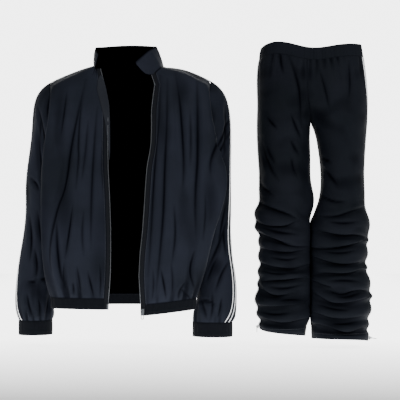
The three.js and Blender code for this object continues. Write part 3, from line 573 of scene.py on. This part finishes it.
def edgeFade(piece, places, reach):
    # creases fade out towards a panel's seams
    bm = bmesh.new()
    bm.from_mesh(piece.data)
    rim = [v.co.copy() for v in bm.verts if v.is_boundary]
    bm.free()
    if not rim:
        return np.ones(len(places))
    tree = KDTree(len(rim))
    for i, co in enumerate(rim):
        tree.insert(co, i)
    tree.balance()
    away = np.array([tree.find(Vector(p))[2] for p in places])
    return np.clip(away / (reach * mm), 0, 1) ** fadePower


def clothNoise(places, settings):
    # broad, uneven swelling of slack cloth, longer one way than the other
    size = np.array(settings["size"]) * mm
    return np.array([noise.noise(Vector(p / size)) for p in places]) * settings["depth"] * mm


def shell(node, facing, levels):
    piece = meshObject(node + "_cloth", outerSkin(node, facing))
    subdivide(piece, levels, "PRESERVE_CORNERS")
    return piece


# How much painted shade the turned edge gets, and how much each cloth gets where it turns
seamShade = {"lip": 1.0, "jacket_nylon": 0.8, "trouser_nylon": 0.35}


def turnSeamsIn(piece, slot, width=1.4, tuck=1.0):
    # the seam allowance: every raw edge runs on into the seam, so no light comes through between two panels
    bm = bmesh.new()
    bm.from_mesh(piece.data)
    shade = bm.verts.layers.float["hollow"]
    rim = [e for e in bm.edges if e.is_boundary]
    ways = {}
    for vert in {v for e in rim for v in e.verts}:
        way = sum((vert.co - f.calc_center_median() for f in vert.link_faces), Vector())
        way -= vert.normal * way.dot(vert.normal)
        ways[vert.index] = way.normalized() * width * mm - vert.normal * tuck * mm
    made = bmesh.ops.extrude_edge_only(bm, edges=rim)["geom"]
    for vert in (g for g in made if isinstance(g, bmesh.types.BMVert)):
        source = next(e.other_vert(vert) for e in vert.link_edges if e.other_vert(vert).index in ways
                      and (e.other_vert(vert).co - vert.co).length < 1e-9)
        vert.co += ways[source.index]
        # painted shade on the turned lip and on the cloth's edge beside it
        vert[shade] = seamShade["lip"]
        source[shade] = max(source[shade], seamShade.get(slot, 0))
    bm.to_mesh(piece.data)
    bm.free()


def finishShell(piece, node, slot, thickness, inside=None):
    turnSeamsIn(piece, slot)
    # the waistband's elastic runs inside a casing of the trousers' own cloth
    piece.data.materials.append(materials["trouser_nylon" if node == "trousers_waistband" else slot])
    if inside:
        piece.data.materials.append(inside)
    wall = piece.modifiers.new("wall", "SOLIDIFY")
    wall.thickness = thickness * mm
    wall.offset = -1
    wall.use_rim = True
    if inside:
        wall.material_offset = 1
    applyModifiers(piece)
    shadeSmooth(piece)
    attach(piece, body)
    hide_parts(node)


def lines(rows):
    # rows of width, depth and the photograph's places down one fold
    return [{"width": row[0], "depth": row[1], "path": [spot(*place) for place in row[2:]]} for row in rows]


rightFrontCreases = lines([
    (7, 3.0, (85, 79), (80, 102), (71, 145), (66, 186), (55, 212), (48, 255), (52, 280)),
    (5, 2.5, (81, 97), (78, 145), (79, 158), (76, 189)),
    (6, 2.5, (97, 107), (95, 134), (91, 199), (91, 250)),
    (6, 3.0, (73, 204), (69, 230), (65, 258)),
    (9, 4.0, (56, 217), (57, 252), (61, 282), (69, 292)),
    (5, 2.5, (77, 266), (79, 280), (81, 295)),
    (5, 2.5, (73, 282), (74, 295)),
    (5, 3.0, (88, 272), (91, 285), (94, 298)),
    (5, 2.5, (100, 262), (101, 280), (100, 297)),
    (5, 2.5, (64, 262), (62, 280), (66, 297)),
    (6, 2.0, (104, 130), (102, 160), (104, 200)),
    (6, 2.0, (88, 120), (86, 150), (82, 180)),
    (7, 2.5, (66, 90), (64, 110), (60, 140)),
    (6, 2.0, (84, 210), (82, 235), (84, 255)),
])
leftFrontCreases = lines([
    (6, 3.0, (160, 75), (159.5, 119), (155.5, 158), (153, 199), (150, 252), (148, 276)),
    (7, 3.0, (167, 78), (167, 119), (165, 158), (164, 199), (163, 220), (159.5, 260), (155.5, 298)),
    (7, 3.5, (175, 71), (180, 102), (183, 142), (184, 173), (182, 193)),
    (8, 3.5, (197, 76), (198, 119), (198, 158), (195, 199), (196, 240)),
    (7, 3.5, (227, 99), (221, 118), (216, 135)),
    (8, 4.0, (231, 119), (218, 142), (210, 162), (211, 177)),
    (6, 3.0, (195, 249), (189, 271), (195, 290)),
    (5, 3.0, (161, 269), (164, 284), (166, 298)),
    (5, 2.5, (188, 280), (179, 290), (178, 300)),
    (5, 2.5, (180, 288), (186, 294), (191, 300)),
    (6, 2.5, (174, 205), (176, 235), (172, 262)),
    (6, 2.0, (205, 190), (206, 215), (203, 240)),
    (5, 2.0, (171, 262), (173, 280), (172, 300)),
    (5, 2.0, (153, 270), (154, 285), (152, 300)),
    (6, 2.0, (190, 110), (191, 140), (190, 165)),
])
backCreases = [
    {"width": w, "depth": d, "path": [(x * mm, z * mm) for x, z in path]}
    for w, d, path in [
        (9, 4, [(-150, -90), (-125, -330), (-140, -640)]),
        (7, 3, [(-95, -140), (-88, -300), (-100, -470)]),
        (8, 3, [(-60, -200), (-50, -420), (-75, -670)]),
        (7, 2.5, [(-15, -110), (-8, -260), (-20, -420)]),
        (8, 3.5, [(30, -60), (20, -300), (45, -620)]),
        (7, 2.5, [(75, -200), (70, -380), (82, -560)]),
        (9, 4, [(120, -120), (95, -380), (110, -680)]),
        (8, 3.5, [(190, -180), (165, -330), (170, -540)]),
        (7, 3, [(-200, -150), (-175, -300), (-180, -480)]),
        (6, 3, [(-110, -590), (-115, -640), (-108, -688)]),
        (6, 3, [(-30, -600), (-34, -650), (-28, -688)]),
        (6, 3, [(65, -590), (60, -640), (66, -688)]),
        (6, 3, [(140, -600), (136, -650), (145, -688)]),
    ]
]
rightSleeveCreases = lines([
    (6, 3.5, (47, 92), (45, 105), (44.6, 119)),
    (7, 3.5, (33, 132), (36, 155), (38, 173), (41, 199)),
    (6, 3.0, (25, 177), (32, 183), (35, 191)),
    (6, 3.0, (33, 212), (35, 230), (37, 247)),
    (8, 4.0, (22, 284), (27, 285), (33, 282)),
    (7, 3.5, (35, 283), (40, 281), (46, 280)),
    (6, 3.5, (22, 296), (24, 308), (28, 320)),
    (7, 3.0, (24, 215), (27, 240), (25, 262)),
    (6, 3.0, (30, 250), (33, 268), (31, 280)),
    (5, 3.0, (34, 300), (36, 310), (35, 321)),
    (5, 3.0, (44, 298), (44, 310), (42, 321)),
    (6, 2.5, (38, 110), (36, 135), (34, 150)),
    (6, 3.5, (34, 104), (39, 122), (42, 145), (43, 172)),
])
leftSleeveCreases = lines([
    (7, 3.0, (226, 100), (227, 130), (225, 160)),
    (7, 3.5, (228, 200), (222, 226), (219, 250)),
    (7, 3.5, (219, 258), (212, 270), (207, 284)),
    (6, 3.5, (231, 262), (222, 276), (216, 292)),
    (5, 3.0, (200, 300), (204, 312), (207, 322)),
    (5, 3.0, (212, 296), (213, 310), (211, 322)),
    (5, 3.0, (222, 300), (221, 312), (218, 322)),
    (6, 3.0, (196, 305), (208, 303), (216, 308)),
    (7, 3.0, (226, 222), (224, 240), (227, 256)),
    (7, 4.0, (233, 112), (226, 128), (219, 143), (214, 154)),
    (8, 4.5, (234, 124), (226, 140), (217, 158), (211, 177)),
    (7, 4.0, (229, 218), (222, 240), (212, 262), (203, 282)),
])


# The ripples' frequencies as shares of their count, how far they add up, and how they die away
rippleShape = {"waves": 4, "shares": (0.8, 1.3), "phases": (0, 6.28), "sum": 2.2, "power": 1.3}


def gathers(settings):
    # cloth drawn in by elastic: ripples across the edge, dying away from it
    rng = np.random.default_rng(settings["seed"])
    ripples = [(rng.uniform(*rippleShape["shares"]), rng.uniform(*rippleShape["phases"]))
               for _ in range(rippleShape["waves"])]
    axisX, axisY = settings["axis"]

    def ripple(places):
        turn = np.arctan2(places[:, 1] - axisY * mm, places[:, 0] - axisX * mm)
        wave = sum(np.sin(turn * settings["count"] * k + phase) for k, phase in ripples) / rippleShape["sum"]
        away = np.abs(places[:, 2] - settings["edgeZ"] * mm) / (settings["reach"] * mm)
        return wave * settings["depth"] * mm * np.exp(-away ** rippleShape["power"])

    return ripple


def slackAndGathers(slack, gather):
    ripple = gathers(gather)
    return lambda places: clothNoise(places, slack) + ripple(places)


hemGather = {"axis": (0, 0), "edgeZ": -692, "reach": 55, "depth": 2.6, "count": 38, "seed": 3}
cuffGathers = {
    "right": {"axis": (-283, 54), "edgeZ": -766, "reach": 38, "depth": 2.6, "count": 15, "seed": 5},
    "left": {"axis": (254, 55), "edgeZ": -772, "reach": 38, "depth": 2.6, "count": 15, "seed": 6},
}
waistGather = {"axis": (549, 0), "edgeZ": 24, "reach": 45, "depth": 1.6, "count": 34, "seed": 8}
jacketSlack = {"size": (55, 55, 190), "depth": 3.0}
sleeveSlack = {"size": (45, 45, 80), "depth": 4.0}
legSlack = {"size": (70, 60, 45), "depth": 3.0}

frontWay = (0, -1, 0)
backWay = (0, 1, 0)
cloths = []


legContact = {"x": 0.546, "top": -0.452, "bottom": -0.778, "ease": 0.02, "reach": 0.02, "share": 0.97}


def closeLegs(piece):
    # below the knees the two legs lie against each other
    places, _ = vertexArrays(piece)
    gap = places[:, 0] - legContact["x"]
    below = np.clip((legContact["top"] - places[:, 2]) / legContact["ease"], 0, 1)
    above = np.clip((places[:, 2] - legContact["bottom"]) / legContact["ease"], 0, 1)
    places[:, 0] -= gap * legContact["share"] * below * above * bell(gap / legContact["reach"])
    setPlaces(piece, places)


cornerRound = {"rounds": 30, "near": 14 * mm, "easing": 12}


def roundCorners(piece):
    # the collar's sewn corners are turned out round
    bm = bmesh.new()
    bm.from_mesh(piece.data)
    rim = {v: [e.other_vert(v) for e in v.link_edges if e.is_boundary] for v in bm.verts if v.is_boundary}
    start = {v: v.co.copy() for v in rim}
    for _ in range(cornerRound["rounds"]):
        eased = [(v, v.co * 0.5 + (pair[0].co + pair[1].co) * 0.25) for v, pair in rim.items()]
        for v, co in eased:
            v.co = co
    moved = [v.co for v in rim if (v.co - start[v]).length > mm]
    inner = [v for v in bm.verts
             if v not in rim and any((v.co - co).length < cornerRound["near"] for co in moved)]
    for _ in range(cornerRound["easing"]):
        bmesh.ops.smooth_vert(bm, verts=inner, factor=0.5, use_axis_x=True, use_axis_y=True, use_axis_z=True)
    bm.to_mesh(piece.data)
    bm.free()


# The wearer's left wing of the collar leans forward, and its lower edge hangs in a full curve
wing = {"centre": spot(144, 70), "reach": 30, "drop": 20, "frontDepth": 30, "backRise": 7}


def hangWing(piece):
    places, _ = vertexArrays(piece)
    away = np.linalg.norm(places[:, [0, 2]] - np.array(wing["centre"]), axis=1) / (wing["reach"] * mm)
    inFront = np.clip((places[:, 1].mean() - places[:, 1]) / (wing["frontDepth"] * mm), 0, 1)
    places[:, 2] -= wing["drop"] * mm * bell(away) * inFront
    # at the back of the neck the collar stands a little higher
    half = np.abs(places[:, 0]).max()
    height = (places[:, 2] - places[:, 2].min()) / np.ptp(places[:, 2])
    places[:, 2] += wing["backRise"] * mm * (1 - (places[:, 0] / half) ** 2) * (1 - inFront) * height ** 2
    setPlaces(piece, places)


def addCloth(node, facing, slot, creases=(), extra=None, levels=3, thickness=0.6, inside=shadedInside, seamFade=14):
    # a panel in place of its CAD wall; its thickness and the width of its flat seams are in mm
    piece = shell(node, facing, levels)
    if node == "jacket_collar":
        roundCorners(piece)
        hangWing(piece)
    pressCreases(piece, creases, extra, seamFade)
    if slot == "trouser_nylon":
        closeLegs(piece)
    finishShell(piece, node, slot, thickness, inside)
    cloths.append(piece)


for node, way, creases in (
    ("jacket_front_right", frontWay, rightFrontCreases),
    ("jacket_front_left", frontWay, leftFrontCreases),
    ("jacket_back", backWay, backCreases),
):
    addCloth(node, way, "jacket_nylon", creases, slackAndGathers(jacketSlack, hemGather))
print("jacket body made")
for side, creases in (("right", rightSleeveCreases), ("left", leftSleeveCreases)):
    for half, way in (("front", frontWay), ("back", backWay)):
        addCloth(f"jacket_sleeve_{side}_{half}", way, "jacket_nylon", creases,
                 slackAndGathers(sleeveSlack, cuffGathers[side]))
print("sleeves made")

rightLegCreases = lines([
    (7, 3.0, (280, 49), (282, 65), (284, 73)),
    (8, 4.0, (289.5, 55), (295, 71), (300, 89), (301, 100), (302.5, 125)),
    (6, 3.0, (291, 113), (296, 125), (302, 138)),
    (6, 3.0, (267, 116), (271, 122), (277, 128)),
    (7, 3.0, (291, 139), (295, 147), (300, 154)),
    (7, 3.5, (292, 157), (294, 168), (299, 177)),
    (7, 3.5, (263, 143), (269, 166), (279, 180)),
    (6, 3.0, (267, 145), (271, 155), (276, 164)),
    (7, 3.5, (259, 182), (266, 190), (274, 196)),
    (8, 4.0, (262, 228), (280, 233), (300, 235)),
    (6, 3.0, (272, 258), (288, 261), (300, 258)),
    (6, 3.0, (262, 272), (276, 275), (290, 274)),
    (7, 3.0, (270, 288), (285, 290), (303, 286)),
    (6, 3.0, (280, 301), (292, 300), (305, 301)),
    (6, 3.0, (262, 314), (275, 316), (290, 314)),
])
leftLegCreases = lines([
    (6, 2.5, (304.7, 86), (307, 106), (310, 124)),
    (7, 3.0, (324, 157), (328, 160), (332, 162)),
    (8, 4.0, (327, 169), (333, 179), (340, 187)),
    (6, 2.5, (320, 70), (326, 90), (330, 110)),
    (6, 2.5, (350, 60), (352, 80), (350, 100)),
    (7, 3.0, (322, 195), (334, 202), (348, 202)),
    (7, 3.5, (330, 222), (345, 224), (360, 222)),
    (6, 3.0, (325, 252), (342, 254), (358, 251)),
    (7, 3.0, (330, 282), (348, 281), (362, 283)),
    (6, 3.0, (336, 297), (350, 297), (366, 293)),
    (6, 3.0, (320, 306), (334, 310), (350, 311)),
    (6, 3.0, (330, 324), (345, 325), (362, 323)),
])


def lapped(rows, lap=0.8):
    return [dict(crease, lap=lap) for crease in lines(rows)]


rightLegCreases += lapped([
    (11, 9.0, (258, 202), (266, 205), (274, 208), (289, 213), (299, 219)),
    (9, 7.0, (256, 221), (264, 225), (273, 226), (288, 226), (299, 221)),
    (11, 9.0, (260, 234), (270, 237), (279, 240), (294, 246), (308, 247)),
    (8, 6.0, (264, 249), (274, 252), (294, 253), (306, 251)),
    (10, 8.0, (260, 264), (268, 266), (281, 268), (295, 270), (306, 266)),
    (8, 6.5, (262, 283), (273, 281), (284, 280), (306, 279)),
    (10, 7.5, (257, 282), (261, 287), (267, 293), (276, 297), (293, 295)),
    (10, 8.0, (258, 308), (268, 308), (280, 307), (308, 305)),
    (11, 8.5, (260, 320), (276, 323), (288, 324), (308, 320)),
])
leftLegCreases += lapped([
    (9, 7.0, (322, 216), (337, 216), (352, 211), (367, 207)),
    (10, 8.0, (318, 230), (329, 233), (340, 235), (361, 235), (370, 238)),
    (10, 8.0, (311, 248), (322, 249), (333, 248), (355, 245), (369, 240)),
    (8, 6.5, (315, 256), (325, 261), (343, 265), (364, 263)),
    (9, 7.0, (318, 276), (328, 273), (352, 274), (367, 269)),
    (8, 6.5, (316, 281), (324, 285), (332, 288)),
    (9, 7.5, (327, 291), (344, 295), (356, 291), (366, 291), (372, 294)),
    (12, 10.0, (315, 291), (323, 299), (333, 304), (353, 303), (375, 298)),
    (9, 7.0, (316, 313), (331, 319), (348, 320), (364, 318)),
    (11, 8.5, (311, 325), (327, 327), (343, 333), (353, 334), (368, 329)),
])


# How far up the back's folds lie (mm) and how deep they are beside the front's, one fold after another
backFolds = {"shifts": (9, -12, 5, -7, 14), "depths": (0.9, 1.1, 0.75)}


def backOfLeg(creases, middle):
    # the back has similar folds, turned about and set a little higher or lower
    turned = []
    shifts, depths = backFolds["shifts"], backFolds["depths"]
    for k, crease in enumerate(creases):
        shift = shifts[k % len(shifts)] * mm
        path = [(2 * middle - x, z + shift) for x, z in crease["path"]]
        turned.append(dict(crease, path=path[::-1], depth=crease["depth"] * depths[k % len(depths)]))
    return turned


legMiddles = {"right": 0.468, "left": 0.645}
for side, creases in (("right", rightLegCreases), ("left", leftLegCreases)):
    turned = backOfLeg(creases, legMiddles[side])
    for half, way, folds in (("front", frontWay, creases), ("back", backWay, turned)):
        addCloth(f"trousers_{half}_{side}", way, "trouser_nylon", folds,
                 slackAndGathers(legSlack, waistGather), seamFade=7)
print("trousers made")

collarSlack = {"size": (30, 30, 20), "depth": 1.2}
bandRibs = {"reach": 400, "depth": 0.7, "cuffCount": 26, "count": 90, "seed": 11}
for node in ("jacket_hem_band", "jacket_cuff_right", "jacket_cuff_left", "trousers_waistband"):
    low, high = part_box(node)
    middle = (low + high) / 2
    ribs = dict(bandRibs, axis=(middle.x / mm, middle.y / mm), edgeZ=middle.z / mm)
    if "cuff" in node:
        ribs["count"] = bandRibs["cuffCount"]
    addCloth(node, "round", "elastic_band", extra=gathers(ribs), thickness=1.8, inside=None)
addCloth("jacket_collar", "round", "jacket_nylon", extra=lambda places: clothNoise(places, collarSlack),
         levels=2, thickness=1.0)
for side in ("right", "left"):
    outwards = (-1, 0, 0.3) if side == "right" else (1, 0, 0.3)
    addCloth(f"jacket_strip_{side}", outwards, "jacket_nylon", levels=2)
    addCloth(f"trousers_strip_{side}", outwards, "trouser_nylon", levels=2)
    addCloth(f"trousers_ankle_zip_{side}", outwards, "zip_tape", levels=2, thickness=0.8, inside=None)
    addCloth(f"jacket_zip_tape_{side}", frontWay, "zip_tape", levels=2, thickness=0.8, inside=None)
print("bands, collar and strips made")


# The wearer's right front edge is turned back on itself and shows its paler facing
facing = {
    "outer": [(99.5, 74), (97, 79), (96.5, 90), (101, 106), (105, 122), (107, 137),
              (108.6, 152), (109.2, 160)],
    "inner": [(102, 75), (103.5, 80), (106, 89), (109, 104), (110, 122), (110.2, 137),
              (110.2, 152), (109.6, 160)],
    "lift": 1.6,
    "thickness": 0.8,
    "across": 6,
    "down": 44,
    "easing": 3,
}


def along(points, share):
    # the place at a share of the way down a list of points
    at = share * (len(points) - 1)
    k = min(int(at), len(points) - 2)
    return [a + (b - a) * (at - k) for a, b in zip(points[k], points[k + 1])]


def surfaceOf(*pieces):
    bm = bmesh.new()
    for piece in pieces:
        bm.from_mesh(piece.data)
    tree = BVHTree.FromBMesh(bm)
    bm.free()
    return tree


def addFacing():
    under = ("jacket_front_right_cloth", "jacket_zip_tape_right_cloth")
    surface = surfaceOf(*(bpy.data.objects[name] for name in under))
    bm = bmesh.new()
    bmesh.ops.create_grid(bm, x_segments=facing["across"], y_segments=facing["down"], size=0.5)
    for vert in bm.verts:
        down, across = 0.5 - vert.co.y, vert.co.x + 0.5
        outer, inner = along(facing["outer"], down), along(facing["inner"], down)
        x, z = spot(*(o + (i - o) * across for o, i in zip(outer, inner)))
        hit = surface.ray_cast(Vector((x, -1, z)), Vector((0, 1, 0)))[0]
        vert.co = (x, hit.y if hit else np.nan, z)
    found = [v for v in bm.verts if not math.isnan(v.co.y)]
    for vert in bm.verts:
        if math.isnan(vert.co.y):
            vert.co.y = min(found, key=lambda v: (v.co.x - vert.co.x) ** 2 + (v.co.z - vert.co.z) ** 2).co.y
    for _ in range(facing["easing"]):
        bmesh.ops.smooth_vert(bm, verts=bm.verts, factor=0.5, use_axis_y=True)
    bmesh.ops.translate(bm, verts=bm.verts, vec=(0, -facing["lift"] * mm, 0))
    bmesh.ops.recalc_face_normals(bm, faces=bm.faces)
    piece = meshObject("jacket_front_facing", bm)
    if piece.data.polygons[0].normal.y > 0:
        piece.data.flip_normals()
    wall = piece.modifiers.new("wall", "SOLIDIFY")
    wall.thickness = facing["thickness"] * mm
    applyModifiers(piece)
    shadeSmooth(piece)
    piece.data.materials.append(facingTaffeta)
    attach(piece, body)
    return piece


facingPiece = addFacing()
print("facing made")


# Zip teeth and stitches: one small block after another along a line

def blocksAlong(name, places, outs, size, pitch, material):
    bm = bmesh.new()
    left = pitch / 2
    for a, b, out in zip(places[:-1], places[1:], outs):
        way = (b - a).normalized()
        side = way.cross(out).normalized()
        turn = Matrix((side, way, side.cross(way))).transposed().to_4x4()
        while left < (b - a).length:
            spotOn = Matrix.Translation(a + way * left) @ turn @ Matrix.Diagonal((*size, 1))
            bmesh.ops.create_cube(bm, size=1, matrix=spotOn)
            left += pitch
        left -= (b - a).length
    piece = meshObject(name, bm)
    piece.data.materials.append(material)
    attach(piece, body)
    return piece


def outermost(node, way, step):
    # the vertices of a narrow strip that lie furthest along X, one at each level, from the top down
    rows = {}
    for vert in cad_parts[node].data.vertices:
        key = round(vert.co.z / step)
        if key not in rows or (vert.co.x - rows[key].x) * way > 0:
            rows[key] = vert.co.copy()
    return [rows[key] for key in sorted(rows, reverse=True)]


jacketTeeth = {"size": (2.0 * mm, 1.3 * mm, 1.5 * mm), "pitch": 2.6 * mm, "overhang": 0.9 * mm,
               "lift": 0.5 * mm}
ankleTeeth = {"size": (3.4 * mm, 1.0 * mm, 1.0 * mm), "pitch": 2.0 * mm, "lift": 0.7 * mm, "step": 4 * mm}
stitch = {"size": (0.6 * mm, 2.6 * mm, 0.5 * mm), "pitch": 3.6 * mm, "lift": 0.2 * mm, "inset": 4 * mm,
          "aboveHem": 24 * mm, "turns": 90, "castFrom": 0.3}
tapeStep = 0.5 * mm
zipTeeth, ankleRows = {}, {}
for side, inward in (("right", 1), ("left", -1)):
    shift = Vector((inward * jacketTeeth["overhang"], -jacketTeeth["lift"], 0))
    edge = [place + shift for place in outermost(f"jacket_zip_tape_{side}", inward, tapeStep)]
    zipTeeth[side] = blocksAlong(f"jacket_zip_teeth_{side}", edge, [Vector((0, -1, 0))] * len(edge),
                                 jacketTeeth["size"], jacketTeeth["pitch"], zipCoil)
    outwards = Vector((-inward, 0, 0))
    middle = [Vector((place.x, 0, place.z)) + outwards * ankleTeeth["lift"]
              for place in outermost(f"trousers_ankle_zip_{side}", -inward, ankleTeeth["step"])]
    ankleRows[side] = blocksAlong(f"trousers_ankle_teeth_{side}", middle, [outwards] * len(middle),
                                  ankleTeeth["size"], ankleTeeth["pitch"], zipCoil)
print("zip teeth made")


def stitchRow(name, starts, ways, surface):
    # topstitching, laid where lines from the given starts meet the cloth
    row, outs = [], []
    for begin, way in zip(starts, ways):
        hit = surface.ray_cast(begin, way)[0]
        if hit:
            row.append(hit - way * stitch["lift"])
            outs.append(-way)
    return blocksAlong(name, row, outs, stitch["size"], stitch["pitch"], threadPaint)


stitches = {}
turns = [2 * math.pi * k / stitch["turns"] for k in range(stitch["turns"] + 1)]
hemWays = [Vector((-math.cos(turn), -math.sin(turn), 0)) for turn in turns]
for side, inward in (("right", 1), ("left", -1)):
    seam = outermost(f"jacket_zip_tape_{side}", -inward, tapeStep)
    starts = [Vector((place.x - inward * stitch["inset"], -1, place.z)) for place in seam]
    stitches[f"jacket_front_{side}"] = stitchRow(
        f"jacket_front_stitches_{side}", starts, [Vector((0, 1, 0))] * len(starts),
        surfaceOf(bpy.data.objects[f"jacket_front_{side}_cloth"]))
    leg = [bpy.data.objects[f"trousers_{half}_{side}_cloth"] for half in ("front", "back")]
    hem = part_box(f"trousers_front_{side}")[0].z + stitch["aboveHem"]
    middle = Vector((legMiddles[side], 0, hem))
    stitches[f"trousers_front_{side}"] = stitchRow(
        f"trousers_hem_stitches_{side}", [middle - way * stitch["castFrom"] for way in hemWays], hemWays,
        surfaceOf(*leg))
print("stitches made")


cord = {"levels": 2, "fuller": 0.75 * mm}


def roundPiping(node):
    # the CAD piping, rounded off and made fuller
    bm = cadMesh(node)
    joinQuads(bm)
    piece = meshObject(node + "_cord", bm)
    subdivide(piece, cord["levels"])
    places, normals = vertexArrays(piece)
    setPlaces(piece, places + normals * cord["fuller"])
    shadeSmooth(piece)
    piece.data.materials.append(materials["white_piping"])
    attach(piece, body)
    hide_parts(node)
    return piece


pipings = {}
for garment in ("jacket", "trousers"):
    for side in ("right", "left"):
        for half in ("front", "back"):
            piping = roundPiping(f"{garment}_piping_{side}_{half}")
            pipings.setdefault(f"{garment}_strip_{side}", []).append(piping)

for node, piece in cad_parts.items():
    if any(word in node for word in ("slider", "bail", "pull", "zip_box", "zip_pin")):
        piece.data.materials.clear()
        piece.data.materials.append(materials["zip_metal"])
print("pipings and zip parts made")

# The pieces that lie on each piece of cloth: its facing, pipings, zip teeth and stitches
onCloth = {"jacket_front_right": [facingPiece], **pipings}
for side in ("right", "left"):
    onCloth[f"jacket_zip_tape_{side}"] = [zipTeeth[side]]
    onCloth[f"trousers_ankle_zip_{side}"] = [ankleRows[side]]
for node, row in stitches.items():
    onCloth.setdefault(node, []).append(row)
for piece in cloths:
    node = piece.name.removesuffix("_cloth")
